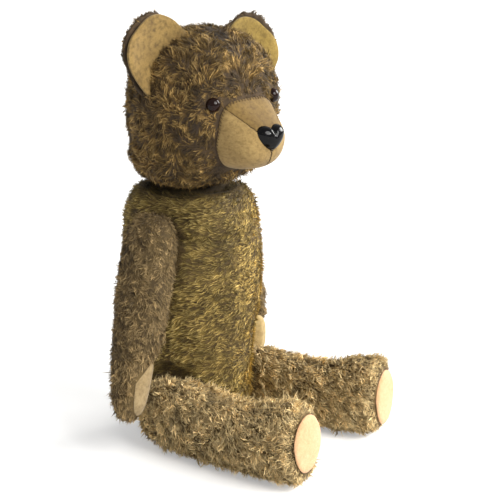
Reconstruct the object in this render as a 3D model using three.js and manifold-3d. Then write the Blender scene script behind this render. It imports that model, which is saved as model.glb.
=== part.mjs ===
// A seated, disc-jointed teddy bear stuffed with wood wool. Millimetres, +Z up.
// The bear faces -Y, its right side is -X, and the origin is the middle of its flat seat on the floor.
import * as THREE from "three";
import Module from "manifold-3d";
import { mergeVertices } from "three/examples/jsm/utils/BufferGeometryUtils.js";

const wasm = await Module();
wasm.setup();

const degrees = THREE.MathUtils.degToRad;

// Driving dimensions.
const CLOTH = 2.0; // plush backing with the short base of its pile
const FELT = 1.8;
const GAP = 0.3; // clearance between neighbouring pieces
const FILL = CLOTH + 2 * GAP; // depth of the wood wool under the cover
const JOINT_GAP = 0.8; // between the two flat faces of a joint
const DISC_THICKNESS = 3.0;
const WASHER_THICKNESS = 1.0;
const WASHER_RADIUS = 8.0;
const PIN_RADIUS = 1.5;
const HOLE_RADIUS = PIN_RADIUS + 0.35;
const POCKET_DEPTH = 15.9;
const SLIVER = 0.03; // faces thinner than this are merged away

const NECK_HEIGHT = 198;
const NECK_DISC_RADIUS = 20;
const HEAD_CENTRE = 56; // above the flat of the neck
const HEAD_FORWARD = -14; // the head sits a little forward of the neck pin
const HEAD_TURN = -16; // degrees, toward the bear's right

const SHOULDER = { x: 43, y: 0, z: 159 };
const ARM_SPLAY = 14.5; // degrees, outward at the paw
const ARM_SWING = { right: 0, left: -0.5 }; // degrees, forward at the paw
const ARM_DISC_RADIUS = 13;

const HIP = { right: { x: 35, y: -11, z: 29 }, left: { x: 35, y: -9, z: 29 } };
const LEG_SPLAY = { right: 4, left: 0.5 };
const SOLE_TURN = { right: 0, left: 5 };
const LEG_DISC_RADIUS = 14;

// Driving sections: height or reach of each ring, its half sizes and how far its middle is off the axis.
const TORSO_RINGS = [
  { at: 0, a: 31, b: 34, x: 0, y: 1 },
  { at: 8, a: 37.5, b: 40, x: 0, y: 0 },
  { at: 30, a: 41, b: 43.5, x: 0, y: 0 },
  { at: 60, a: 41.5, b: 45, x: 0, y: 0 },
  { at: 92, a: 43, b: 48.5, x: 0, y: -1 },
  { at: 120, a: 46, b: 52, x: 0, y: -1.5 },
  { at: 143, a: 47.5, b: 53, x: 0, y: -1 },
  { at: 166, a: 46.5, b: 52, x: 0, y: 0 },
  { at: 183, a: 43.5, b: 48.5, x: 0, y: 0 },
  { at: 193, a: 37, b: 41, x: 0, y: 0 },
  { at: NECK_HEIGHT, a: 28, b: 31, x: 0, y: 0 },
];

const HEAD_RINGS = [
  { at: 0, a: 24, b: 27, x: 0, y: 3 },
  { at: 6, a: 33, b: 34, x: 0, y: 1 },
  { at: 14, a: 41, b: 40, x: 0, y: -4 },
  { at: 24, a: 48, b: 44.5, x: 0, y: -8 },
  { at: 38, a: 54, b: 49, x: 0, y: -12 },
  { at: 56, a: 58, b: 52, x: 0, y: HEAD_FORWARD },
  { at: 76, a: 58.5, b: 52.5, x: 0, y: HEAD_FORWARD },
  { at: 93, a: 52, b: 47, x: 0, y: -13 },
  { at: 106, a: 39, b: 35, x: 0, y: -12 },
  { at: 114, a: 21, b: 19, x: 0, y: -12 },
  { at: 116.5, a: 7, b: 6, x: 0, y: -12 },
];

const ARM_RINGS = [
  { at: -24, a: 5, b: 8, x: 13, y: 0 },
  { at: -18, a: 11, b: 16, x: 13, y: 0 },
  { at: -7, a: 15, b: 21.5, x: 13, y: 0 },
  { at: 12, a: 16.5, b: 22.5, x: 13.5, y: 0 },
  { at: 42, a: 16, b: 22, x: 14, y: 0 },
  { at: 72, a: 15, b: 20, x: 14, y: 0 },
  { at: 98, a: 13.5, b: 17.5, x: 13.5, y: 0 },
  { at: 118, a: 12, b: 15, x: 13, y: 0 },
  { at: 130, a: 8.5, b: 10.5, x: 13, y: 0 },
  { at: 134, a: 4, b: 5, x: 13, y: 0 },
];

const LEG_RINGS = [
  { at: -21, a: 6, b: 8, x: 14, y: 0 },
  { at: -17, a: 12, b: 17, x: 14, y: 0 },
  { at: -7, a: 16.5, b: 25, x: 14, y: 0 },
  { at: 10, a: 18, b: 28, x: 14, y: 0 },
  { at: 40, a: 19, b: 27.5, x: 16, y: 0 },
  { at: 69, a: 19.5, b: 26, x: 17.5, y: -1.5 },
  { at: 95, a: 20, b: 28, x: 18, y: 0.5 },
  { at: 112, a: 20.5, b: 31.5, x: 18, y: 4 },
  { at: 126, a: 19.5, b: 29, x: 18, y: 5 },
  { at: 132, a: 17, b: 24.5, x: 18, y: 5 },
];
const SOLE_REACH = 132;
const SOLE_MIDDLE = 18;

const MUZZLE_RINGS = [
  { at: 22, a: 26.5, b: 29, x: 0, y: -5 },
  { at: 45, a: 26.5, b: 28.5, x: 0, y: -5 },
  { at: 58, a: 24.5, b: 25.5, x: 0, y: -6 },
  { at: 68, a: 20.5, b: 21, x: 0, y: -7 },
  { at: 74.5, a: 14.5, b: 15, x: 0, y: -7.5 },
  { at: 77, a: 6.5, b: 7, x: 0, y: -7.5 },
];

const EYE = { x: 30, y: -47, z: 19.5, radius: 6, rise: 5.5 };
const NOSE = { y: -76, z: -6, width: 22, height: 17, depth: 8 };
const EAR = {
  right: { x: 44, z: 45, height: 36, lean: 42 },
  left: { x: 44, z: 48, height: 26, lean: 38 },
  y: -5,
  width: 30,
  root: 14,
  cup: 5,
};
const PAW_PAD = { along: 107, long: 21.5, wide: 13, turn: 66 };
const SOLE_PAD = { wide: 17, tall: 22.5, up: { right: 6.5, left: 3.5 } };
const BRIDGE_SEAM = { x: 24, z: 12, point: -26 };

const COLOURS = {
  plush: 0x7d6a42,
  felt: 0xb5955a,
  pad: 0xe3ca98,
  wool: 0xc9b184,
  board: 0x8a6a48,
  steel: 0x9a9a98,
  nose: 0x0c0a0c,
  eye: 0x2b1408,
};

// ---- solids ----

function signedVolume(points, faces) {
  let volume = 0;
  const [a, b, c] = [new THREE.Vector3(), new THREE.Vector3(), new THREE.Vector3()];
  for (let i = 0; i < faces.length; i += 3) {
    a.fromArray(points, faces[i] * 3);
    b.fromArray(points, faces[i + 1] * 3);
    c.fromArray(points, faces[i + 2] * 3);
    volume += a.dot(b.cross(c)) / 6;
  }
  return volume;
}

// A closed geometry as a solid; a mirrored one is turned right side out first.
function solid(geometry) {
  const clean = geometry.clone();
  clean.deleteAttribute("normal");
  clean.deleteAttribute("uv");
  const merged = mergeVertices(clean, 1e-4);
  const points = merged.attributes.position.array;
  const faces = Array.from(merged.index.array);
  if (signedVolume(points, faces) < 0) {
    faces.reverse();
  }
  const mesh = new wasm.Mesh({
    numProp: 3,
    vertProperties: Float32Array.from(points),
    triVerts: Uint32Array.from(faces),
  });
  return new wasm.Manifold(mesh);
}

function moved(geometry, matrix) {
  return solid(geometry.clone().applyMatrix4(matrix));
}

// One ring of a loft: a rounded section that is squarer than an ellipse when power is above 2.
function ringPoints(ring, sides, power) {
  const points = [];
  for (let i = 0; i < sides; i++) {
    const angle = (2 * Math.PI * i) / sides;
    const c = Math.cos(angle);
    const s = Math.sin(angle);
    const u = Math.sign(c) * Math.abs(c) ** (2 / power);
    const v = Math.sign(s) * Math.abs(s) ** (2 / power);
    points.push(ring.x + ring.a * u, ring.y + ring.b * v, ring.at);
  }
  return points;
}

// Smooth rings between the driving sections.
function between(rings, count) {
  const sizes = new THREE.CatmullRomCurve3(rings.map((r) => new THREE.Vector3(r.at, r.a, r.b)));
  const middles = new THREE.CatmullRomCurve3(rings.map((r) => new THREE.Vector3(r.at, r.x, r.y)));
  const smooth = [];
  for (let i = 0; i < count; i++) {
    const size = sizes.getPoint(i / (count - 1));
    const middle = middles.getPoint(i / (count - 1));
    smooth.push({ at: size.x, a: size.y, b: size.z, x: middle.y, y: middle.z });
  }
  return smooth;
}

// A closed loft along z through the rings, its ends closed flat.
function loft(rings, sides, power) {
  const points = rings.flatMap((ring) => ringPoints(ring, sides, power));
  const first = rings[0];
  const last = rings[rings.length - 1];
  const bottom = rings.length * sides;
  points.push(first.x, first.y, first.at, last.x, last.y, last.at);
  const faces = [];
  for (let i = 0; i < sides; i++) {
    const j = (i + 1) % sides;
    faces.push(bottom, j, i);
    const top = (rings.length - 1) * sides;
    faces.push(bottom + 1, top + i, top + j);
    for (let k = 0; k + 1 < rings.length; k++) {
      const [p, q] = [k * sides + i, k * sides + j];
      faces.push(p, q, q + sides, p, q + sides, p + sides);
    }
  }
  const geometry = new THREE.BufferGeometry();
  geometry.setAttribute("position", new THREE.Float32BufferAttribute(points, 3));
  geometry.setIndex(faces);
  return geometry;
}

// The face normals that meet in each vertex.
function normalsAt(geometry) {
  const position = geometry.attributes.position;
  const index = geometry.index.array;
  const found = Array.from({ length: position.count }, () => []);
  for (let i = 0; i < index.length; i += 3) {
    const corner = [0, 1, 2].map((k) => new THREE.Vector3().fromBufferAttribute(position, index[i + k]));
    const normal = corner[1].clone().sub(corner[0]).cross(corner[2].clone().sub(corner[0]));
    [0, 1, 2].forEach((k) => found[index[i + k]].push(normal));
  }
  return found;
}

// The same loft with its skin moved inward by a depth, or outward by a negative one.
function inset(geometry, depth) {
  if (depth === 0) {
    return geometry;
  }
  const position = geometry.attributes.position;
  const next = geometry.clone();
  normalsAt(geometry).forEach((normals, i) => {
    const mean = new THREE.Vector3();
    normals.forEach((n) => mean.add(n));
    mean.normalize();
    const area = normals.reduce((sum, n) => sum + n.length(), 0);
    const facing = normals.reduce((sum, n) => sum + n.dot(mean), 0) / area;
    const at = new THREE.Vector3().fromBufferAttribute(position, i);
    at.addScaledVector(mean, -depth / Math.max(facing, 0.75));
    next.attributes.position.setXYZ(i, at.x, at.y, at.z);
  });
  return next;
}

// A round bar along x between two places.
function barAlongX(radius, from, to, sides = 16) {
  const bar = new THREE.CylinderGeometry(radius, radius, to - from, sides);
  bar.rotateZ(Math.PI / 2);
  bar.translate((from + to) / 2, 0, 0);
  return bar;
}

// A turned solid about x: the profile gives [place, radius] pairs.
function turnedAboutX(profile, sides) {
  const points = profile.map(([at, radius]) => new THREE.Vector2(radius, at));
  const turned = new THREE.LatheGeometry(points, sides);
  turned.rotateZ(-Math.PI / 2);
  return turned;
}

// A bent wire through the points, closed at both ends.
function wire(points, radius) {
  const path = new THREE.CatmullRomCurve3(points.map((p) => new THREE.Vector3(...p)));
  const section = new THREE.Shape();
  section.absarc(0, 0, radius, 0, 2 * Math.PI, false);
  const options = { steps: 5, curveSegments: 3, bevelEnabled: false, extrudePath: path };
  return new THREE.ExtrudeGeometry(section, options);
}

// ---- frames: each maps a piece's own axes to the seated bear ----

function mirror(side) {
  return new THREE.Matrix4().makeScale(side === "right" ? -1 : 1, 1, 1);
}

// x outward through the shoulder disc, z up the arm.
function shoulderFrame(side) {
  return mirror(side)
    .multiply(new THREE.Matrix4().makeTranslation(SHOULDER.x, SHOULDER.y, SHOULDER.z))
    .multiply(new THREE.Matrix4().makeRotationY(degrees(-ARM_SPLAY)))
    .multiply(new THREE.Matrix4().makeRotationX(degrees(-ARM_SWING[side])));
}

// x outward through the hip disc, -y toward the foot.
function hipFrame(side) {
  return mirror(side)
    .multiply(new THREE.Matrix4().makeTranslation(HIP[side].x, HIP[side].y, HIP[side].z))
    .multiply(new THREE.Matrix4().makeRotationZ(degrees(LEG_SPLAY[side])));
}

// x up through the neck disc.
function neckFrame() {
  return new THREE.Matrix4()
    .makeTranslation(0, 0, NECK_HEIGHT + JOINT_GAP / 2)
    .multiply(new THREE.Matrix4().makeRotationY(degrees(-90)));
}

// Origin in the middle of the base of the head, the face toward -y.
function headFrame() {
  return new THREE.Matrix4()
    .makeTranslation(0, 0, NECK_HEIGHT + JOINT_GAP)
    .multiply(new THREE.Matrix4().makeRotationZ(degrees(HEAD_TURN)));
}

// Origin in the middle of the head.
function faceFrame() {
  return headFrame().multiply(new THREE.Matrix4().makeTranslation(0, HEAD_FORWARD, HEAD_CENTRE));
}

const FORWARD = new THREE.Matrix4().makeRotationX(degrees(90)); // a loft's z to -y
const DOWNWARD = new THREE.Matrix4().makeScale(1, 1, -1); // a loft's z to -z

// ---- soft bodies: the outline of each stuffed piece, inset by a depth ----

// What a joint presses flat: everything beyond the joint's plane within a radius.
function pressed(frame, radius, depth) {
  return moved(barAlongX(radius + depth, -JOINT_GAP / 2 - depth, 60, 20), frame);
}

function torsoBody(depth) {
  const rings = between(TORSO_RINGS, 12);
  let body = solid(inset(loft(rings, 20, 2.4), depth));
  for (const side of ["right", "left"]) {
    body = body.subtract(pressed(hipFrame(side), 38, depth));
    body = body.subtract(pressed(shoulderFrame(side), 38, depth));
  }
  return body;
}

function headBody(depth) {
  return moved(inset(loft(between(HEAD_RINGS, 11), 22, 2.15), depth), headFrame());
}

function muzzleBody(depth) {
  const frame = faceFrame().multiply(FORWARD);
  return moved(inset(loft(between(MUZZLE_RINGS, 7), 16, 2.2), depth), frame);
}

// The half space on the body side of a limb's flat face.
function innerSide(frame, depth) {
  const box = new THREE.BoxGeometry(200, 500, 500);
  box.translate(-100 + JOINT_GAP / 2 + depth, 0, 0);
  return moved(box, frame);
}

function armBody(side, depth) {
  const frame = shoulderFrame(side);
  const shape = inset(loft(between(ARM_RINGS, 10), 14, 2.2), depth);
  return moved(shape, frame.clone().multiply(DOWNWARD)).subtract(innerSide(frame, depth));
}

// The foot end of the left leg is turned further out than its thigh.
function turnFoot(geometry, angle) {
  const position = geometry.attributes.position;
  for (let i = 0; i < position.count; i++) {
    const reach = position.getZ(i);
    const share = Math.min(Math.max((reach - 60) / (SOLE_REACH - 60), 0), 1);
    const turn = degrees(angle) * share;
    position.setX(i, position.getX(i) + (reach - 60) * Math.sin(turn) * share);
    position.setZ(i, reach - (position.getX(i) - SOLE_MIDDLE) * Math.sin(turn) * share);
  }
  return geometry;
}

function legBody(side, depth) {
  const frame = hipFrame(side);
  const shape = inset(turnFoot(loft(between(LEG_RINGS, 11), 16, 2.35), SOLE_TURN[side]), depth);
  return moved(shape, frame.clone().multiply(FORWARD)).subtract(innerSide(frame, depth));
}

// ---- joints ----

function ringDisc(radius, from, to, sides) {
  const disc = solid(barAlongX(radius, from, to, sides));
  return disc.subtract(solid(barAlongX(HOLE_RADIUS, from - 1, to + 1, 8)));
}

// The pocket in the wood wool for a disc, its washer and the end of the pin.
function discPocket(frame, discRadius, sign) {
  const start = sign * (JOINT_GAP / 2 + CLOTH - 1);
  const step = sign * (JOINT_GAP / 2 + FILL + DISC_THICKNESS + GAP);
  const profile = [
    [start, 0],
    [start, discRadius + 0.4],
    [step, discRadius + 0.4],
    [step, 9],
    [sign * POCKET_DEPTH, 9],
    [sign * POCKET_DEPTH, 0],
  ];
  return moved(turnedAboutX(profile, 16), frame);
}

function pinHole(frame) {
  return moved(barAlongX(HOLE_RADIUS, -POCKET_DEPTH, POCKET_DEPTH, 8), frame);
}

// A cotter pin: its eye in the limb, its two ends curled over the washer in the torso.
function cotterPin() {
  const eye = new THREE.TorusGeometry(2.7, 1.2, 5, 9);
  eye.rotateX(Math.PI / 2);
  eye.translate(11.6, 0, 0);
  let pin = solid(barAlongX(PIN_RADIUS, -9.4, 9.4, 8)).add(solid(eye));
  for (const s of [1, -1]) {
    const leg = [
      [-8.6, 0.2 * s, 0],
      [-11.6, 1.2 * s, 0],
      [-13, 3.6 * s, 0],
      [-11.6, 6.2 * s, 0],
      [-9.6, 6.9 * s, 0],
    ];
    pin = pin.add(solid(wire(leg, 1.0)));
  }
  return pin;
}

// ---- pieces ----

const bear = new THREE.Group();
bear.name = "teddy_bear";

function add(name, body, colour) {
  const mesh = body.simplify(SLIVER).getMesh();
  const geometry = new THREE.BufferGeometry();
  geometry.setAttribute("position", new THREE.BufferAttribute(Float32Array.from(mesh.vertProperties), 3));
  geometry.setIndex(Array.from(mesh.triVerts));
  const piece = new THREE.Mesh(geometry, new THREE.MeshStandardMaterial({ color: colour }));
  piece.name = name;
  bear.add(piece);
}

function addJoint(name, frame, discRadius, torsoSide, limbSide) {
  const near = JOINT_GAP / 2 + FILL;
  const far = near + DISC_THICKNESS;
  const washer = far + GAP;
  const put = (piece, body, colour) => add(piece, body.transform(frame.elements), colour);
  put(`${name}_disc_${torsoSide}`, ringDisc(discRadius, -far, -near, 20), COLOURS.board);
  put(`${name}_disc_${limbSide}`, ringDisc(discRadius, near, far, 20), COLOURS.board);
  const end = washer + WASHER_THICKNESS;
  put(`${name}_washer_${torsoSide}`, ringDisc(WASHER_RADIUS, -end, -washer, 12), COLOURS.steel);
  put(`${name}_washer_${limbSide}`, ringDisc(WASHER_RADIUS, washer, end, 12), COLOURS.steel);
  put(`${name}_pin`, cotterPin(), COLOURS.steel);
}

function addTorso() {
  let cover = torsoBody(0).subtract(torsoBody(CLOTH));
  let fill = torsoBody(FILL);
  const joints = [
    [neckFrame(), NECK_DISC_RADIUS],
    [shoulderFrame("right"), ARM_DISC_RADIUS],
    [shoulderFrame("left"), ARM_DISC_RADIUS],
    [hipFrame("right"), LEG_DISC_RADIUS],
    [hipFrame("left"), LEG_DISC_RADIUS],
  ];
  for (const [frame, radius] of joints) {
    cover = cover.subtract(pinHole(frame));
    fill = fill.subtract(discPocket(frame, radius, -1));
  }
  add("torso_cover", cover, COLOURS.plush);
  add("torso_filling", fill, COLOURS.wool);
}

// The ray from the middle of the head through the eye.
function eyeFrame(side) {
  const out = new THREE.Vector3(EYE.x, EYE.y, EYE.z * 0.6).normalize();
  const turn = new THREE.Quaternion().setFromUnitVectors(new THREE.Vector3(1, 0, 0), out);
  return faceFrame()
    .multiply(mirror(side))
    .multiply(new THREE.Matrix4().makeTranslation(EYE.x, EYE.y, EYE.z))
    .multiply(new THREE.Matrix4().makeRotationFromQuaternion(turn));
}

// A domed eye with its shank, hollowed at the back to sit on the head.
function eyeBody(frame) {
  const profile = [[EYE.rise, 0]];
  for (let i = 1; i <= 5; i++) {
    const angle = (Math.PI / 2) * (i / 5);
    profile.push([EYE.rise * Math.cos(angle), EYE.radius * Math.sin(angle)]);
  }
  profile.push([-3, EYE.radius - 1], [-3, 0]);
  const dome = moved(turnedAboutX(profile, 16), frame).subtract(headBody(-GAP));
  return dome.add(moved(barAlongX(1.5, -11, 2, 8), frame));
}

function noseFrame() {
  return faceFrame()
    .multiply(new THREE.Matrix4().makeTranslation(0, NOSE.y, NOSE.z))
    .multiply(new THREE.Matrix4().makeRotationZ(degrees(-90)));
}

// A heart with two lobes at the top and its point down, seen from the front.
function heart() {
  const w = NOSE.width / 2;
  const h = NOSE.height;
  const shape = new THREE.Shape();
  shape.moveTo(0, -h * 0.5);
  shape.bezierCurveTo(-w * 0.55, -h * 0.42, -w, -h * 0.02, -w, h * 0.2);
  shape.bezierCurveTo(-w, h * 0.55, -w * 0.3, h * 0.6, 0, h * 0.36);
  shape.bezierCurveTo(w * 0.3, h * 0.6, w, h * 0.55, w, h * 0.2);
  shape.bezierCurveTo(w, -h * 0.02, w * 0.55, -h * 0.42, 0, -h * 0.5);
  return shape;
}

function noseBody() {
  const options = {
    depth: NOSE.depth - 2,
    curveSegments: 4,
    bevelThickness: 2,
    bevelSize: 2,
    bevelOffset: -2,
    bevelSegments: 2,
  };
  const shape = new THREE.ExtrudeGeometry(heart(), options);
  shape.rotateX(Math.PI / 2);
  shape.translate(0, NOSE.y + 5, NOSE.z);
  const front = moved(shape, faceFrame()).subtract(muzzleBody(-GAP));
  return front.add(moved(barAlongX(1.9, -12, 3, 8), noseFrame()));
}

// One panel of the muzzle: between the slanted bridge seams, or below them on one side.
function muzzlePanels(shell) {
  const seam = new THREE.Shape();
  seam.moveTo(-60, 60);
  seam.lineTo(-BRIDGE_SEAM.x, BRIDGE_SEAM.z);
  seam.lineTo(0, BRIDGE_SEAM.point);
  seam.lineTo(BRIDGE_SEAM.x, BRIDGE_SEAM.z);
  seam.lineTo(60, 60);
  const wedge = (lift) => {
    const block = new THREE.ExtrudeGeometry(seam, { depth: 120, bevelEnabled: false });
    block.rotateX(Math.PI / 2);
    block.translate(0, 0, lift);
    return moved(block, faceFrame());
  };
  const half = (side) => {
    const block = new THREE.BoxGeometry(100, 200, 200);
    block.translate(50 + GAP / 2, -60, 0);
    return moved(block, faceFrame().multiply(mirror(side)));
  };
  const lower = shell.subtract(wedge(-GAP));
  return [shell.intersect(wedge(GAP / 2)), lower.intersect(half("right")), lower.intersect(half("left"))];
}

function addHead() {
  const muzzle = muzzleBody(0);
  let cover = headBody(0).subtract(headBody(CLOTH)).subtract(muzzleBody(-GAP));
  let fill = headBody(FILL).add(muzzleBody(FELT + GAP));
  let shell = muzzle.subtract(muzzleBody(FELT)).subtract(headBody(1));
  cover = cover.subtract(pinHole(neckFrame()));
  fill = fill.subtract(discPocket(neckFrame(), NECK_DISC_RADIUS, 1));
  for (const side of ["right", "left"]) {
    const frame = eyeFrame(side);
    cover = cover.subtract(moved(barAlongX(1.9, -20, 10, 8), frame));
    fill = fill.subtract(moved(barAlongX(6, -6.4, 10, 10), frame));
    fill = fill.subtract(moved(barAlongX(2.2, -14, 0, 8), frame));
    add(`eye_${side}`, eyeBody(frame), COLOURS.eye);
    add(`eye_washer_${side}`, lockWasher(frame, 5.5, -5.6), COLOURS.steel);
  }
  const nose = noseFrame();
  shell = shell.subtract(moved(barAlongX(2.3, -20, 10, 8), nose));
  fill = fill.subtract(moved(barAlongX(6.5, -7.4, 10, 10), nose));
  fill = fill.subtract(moved(barAlongX(2.4, -14, 0, 8), nose));
  add("nose", noseBody(), COLOURS.nose);
  add("nose_washer", lockWasher(nose, 6, -6.4), COLOURS.steel);
  add("head_cover", cover, COLOURS.plush);
  add("head_filling", fill, COLOURS.wool);
  const [bridge, right, left] = muzzlePanels(shell);
  add("muzzle_bridge", bridge, COLOURS.felt);
  add("muzzle_side_right", right, COLOURS.felt);
  add("muzzle_side_left", left, COLOURS.felt);
}

function lockWasher(frame, radius, at) {
  const plate = moved(barAlongX(radius, at, at + 0.8, 10), frame);
  return plate.subtract(moved(barAlongX(2.2, at - 1, at + 2, 8), frame));
}

// A half-disc ear, cupped forward, between two depths from its front face.
function earLayer(height, from, to, shrink) {
  const [across, up] = [8, 5];
  const points = [];
  for (const depth of [from, to]) {
    for (let i = 0; i <= across; i++) {
      for (let k = 0; k <= up; k++) {
        const u = (2 * i) / across - 1;
        const rim = Math.sqrt(Math.max(1 - Math.abs(u) ** 2.4, 0));
        const x = u * (EAR.width - shrink);
        const z = -EAR.root + (k / up) * (EAR.root + rim * (height - shrink) + 0.5);
        const away = (x / EAR.width) ** 2 + Math.max(z / height, 0) ** 2;
        points.push(x, depth - EAR.cup * away, z);
      }
    }
  }
  return grid(points, across + 1, up + 1);
}

// Two sheets of the same grid closed round their rim.
function grid(points, columns, rows) {
  const faces = [];
  const far = columns * rows;
  const at = (i, k) => i * rows + k;
  for (let i = 0; i + 1 < columns; i++) {
    for (let k = 0; k + 1 < rows; k++) {
      const [a, b, c, d] = [at(i, k), at(i + 1, k), at(i + 1, k + 1), at(i, k + 1)];
      faces.push(a, b, c, a, c, d);
      faces.push(far + a, far + c, far + b, far + a, far + d, far + c);
    }
  }
  const rim = [];
  for (let i = 0; i < columns; i++) {
    rim.push(at(i, 0));
  }
  for (let k = 1; k < rows; k++) {
    rim.push(at(columns - 1, k));
  }
  for (let i = columns - 2; i >= 0; i--) {
    rim.push(at(i, rows - 1));
  }
  for (let k = rows - 2; k > 0; k--) {
    rim.push(at(0, k));
  }
  rim.forEach((p, i) => {
    const q = rim[(i + 1) % rim.length];
    faces.push(p, far + p, far + q, p, far + q, q);
  });
  const geometry = new THREE.BufferGeometry();
  geometry.setAttribute("position", new THREE.Float32BufferAttribute(points, 3));
  geometry.setIndex(faces);
  return geometry;
}

function addEars() {
  const clear = headBody(-GAP);
  for (const side of ["right", "left"]) {
    const ear = EAR[side];
    const frame = faceFrame()
      .multiply(mirror(side))
      .multiply(new THREE.Matrix4().makeTranslation(ear.x, EAR.y, ear.z))
      .multiply(new THREE.Matrix4().makeRotationY(degrees(ear.lean)));
    const lining = moved(earLayer(ear.height, 0, FELT, 2.5), frame);
    add(`ear_lining_${side}`, lining.subtract(clear), COLOURS.felt);
    const behind = FELT + 2 * GAP;
    const back = moved(earLayer(ear.height, behind, behind + 4, 0), frame);
    add(`ear_back_${side}`, back.subtract(clear), COLOURS.plush);
  }
}

// An oval bar along x that cuts a pad and its opening.
function ovalBar(halfUp, halfAcross, from, to, grow) {
  const bar = barAlongX(1, from, to, 18);
  bar.scale(1, halfAcross + grow, halfUp + grow);
  return bar;
}

function addArm(side) {
  const frame = shoulderFrame(side);
  const shell = armBody(side, 0).subtract(armBody(side, CLOTH)).subtract(pinHole(frame));
  const pad = frame
    .clone()
    .multiply(new THREE.Matrix4().makeTranslation(13, 0, -PAW_PAD.along))
    .multiply(new THREE.Matrix4().makeRotationZ(degrees(180 + PAW_PAD.turn)));
  const oval = (grow) => moved(ovalBar(PAW_PAD.long, PAW_PAD.wide, 2, 40, grow), pad);
  const fill = armBody(side, FILL).subtract(discPocket(frame, ARM_DISC_RADIUS, 1));
  add(`arm_cover_${side}`, shell.subtract(oval(GAP)), COLOURS.plush);
  add(`arm_filling_${side}`, fill, COLOURS.wool);
  add(`paw_pad_${side}`, shell.intersect(oval(0)), COLOURS.pad);
}

function addLeg(side) {
  const frame = hipFrame(side);
  const shell = legBody(side, 0).subtract(legBody(side, CLOTH)).subtract(pinHole(frame));
  const middle = SOLE_MIDDLE + (SOLE_REACH - 60) * Math.sin(degrees(SOLE_TURN[side]));
  const pad = frame
    .clone()
    .multiply(new THREE.Matrix4().makeTranslation(middle, -SOLE_REACH + 12, SOLE_PAD.up[side]))
    .multiply(new THREE.Matrix4().makeRotationZ(degrees(-90 + SOLE_TURN[side])));
  const oval = (grow) => moved(ovalBar(SOLE_PAD.tall, SOLE_PAD.wide, 0, 40, grow), pad);
  const fill = legBody(side, FILL).subtract(discPocket(frame, LEG_DISC_RADIUS, 1));
  add(`leg_cover_${side}`, shell.subtract(oval(GAP)), COLOURS.plush);
  add(`leg_filling_${side}`, fill, COLOURS.wool);
  add(`sole_pad_${side}`, shell.intersect(oval(0)), COLOURS.pad);
}

addTorso();
addHead();
addEars();
for (const side of ["right", "left"]) {
  addArm(side);
  addLeg(side);
  addJoint(`shoulder_${side}`, shoulderFrame(side), ARM_DISC_RADIUS, "torso", "arm");
  addJoint(`hip_${side}`, hipFrame(side), LEG_DISC_RADIUS, "torso", "leg");
}
addJoint("neck", neckFrame(), NECK_DISC_RADIUS, "torso", "head");

export default bear;
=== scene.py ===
"""Builds the looks of an old jointed teddy bear: plush on a woven backing, felt pads and glossy face."""

import logging
import math
from collections.abc import Callable, Sequence
from dataclasses import dataclass, field
from enum import Enum

import bmesh
import bpy
import numpy as np
from mathutils import Matrix, Vector, noise
from mathutils.bvhtree import BVHTree


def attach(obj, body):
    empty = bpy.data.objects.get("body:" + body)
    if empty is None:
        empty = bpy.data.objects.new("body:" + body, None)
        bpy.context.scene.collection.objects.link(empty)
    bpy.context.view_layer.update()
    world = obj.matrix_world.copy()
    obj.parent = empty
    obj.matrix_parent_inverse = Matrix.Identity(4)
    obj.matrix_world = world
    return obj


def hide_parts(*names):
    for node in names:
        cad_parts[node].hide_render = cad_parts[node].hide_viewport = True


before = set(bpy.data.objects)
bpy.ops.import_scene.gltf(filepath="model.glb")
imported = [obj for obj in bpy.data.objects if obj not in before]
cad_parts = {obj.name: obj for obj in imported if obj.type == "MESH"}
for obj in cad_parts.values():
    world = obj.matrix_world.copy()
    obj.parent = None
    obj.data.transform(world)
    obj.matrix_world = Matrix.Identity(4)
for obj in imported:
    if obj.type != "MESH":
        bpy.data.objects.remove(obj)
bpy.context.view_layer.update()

log = logging.getLogger("teddy_bear")

MM = 0.001
Colour = tuple[float, float, float]
Piece = bpy.types.Object
Socket = bpy.types.NodeSocket


class Side(Enum):
    """The two sides of the bear, named as the bear would."""

    RIGHT = "right"
    LEFT = "left"

    @property
    def sign(self) -> int:
        """The sign of x on this side."""
        return -1 if self is Side.RIGHT else 1


# ---- joint and face frames ----

NECK_HEIGHT = 198.0
JOINT_GAP = 0.8
SHOULDER = (43.0, 0.0, 159.0)
ARM_SPLAY = 14.5
ARM_SWING = {Side.RIGHT: 0.0, Side.LEFT: -0.5}
HIP = {Side.RIGHT: (35.0, -11.0, 29.0), Side.LEFT: (35.0, -9.0, 29.0)}
LEG_SPLAY = {Side.RIGHT: 4.0, Side.LEFT: 0.5}
NECK_PRESS, SHOULDER_PRESS, HIP_PRESS = 24.0, 22.0, 27.0
HEAD_TURN = -16.0
HEAD_CENTRE = (0.0, -14.0, 56.0)


def shift(x: float, y: float, z: float) -> Matrix:
    """A move by millimetres."""
    return Matrix.Translation((x * MM, y * MM, z * MM))


def turn(degrees: float, axis: str) -> Matrix:
    """A turn about one axis."""
    return Matrix.Rotation(math.radians(degrees), 4, axis)


def mirrored(side: Side) -> Matrix:
    """Turns the left half's frame into this side's."""
    return Matrix.Diagonal((side.sign, 1, 1, 1))


def shoulder_frame(side: Side) -> Matrix:
    """Where x runs outward through the shoulder and z up the arm."""
    return mirrored(side) @ shift(*SHOULDER) @ turn(-ARM_SPLAY, "Y") @ turn(-ARM_SWING[side], "X")


def hip_frame(side: Side) -> Matrix:
    """Where x runs outward through the hip and -y to the foot."""
    return mirrored(side) @ shift(*HIP[side]) @ turn(LEG_SPLAY[side], "Z")


def head_frame() -> Matrix:
    """Where the origin is under the head, with the face to -y."""
    return shift(0, 0, NECK_HEIGHT + JOINT_GAP) @ turn(HEAD_TURN, "Z")


def face_frame() -> Matrix:
    """Where the origin is in the middle of the head."""
    return head_frame() @ shift(*HEAD_CENTRE)


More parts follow.
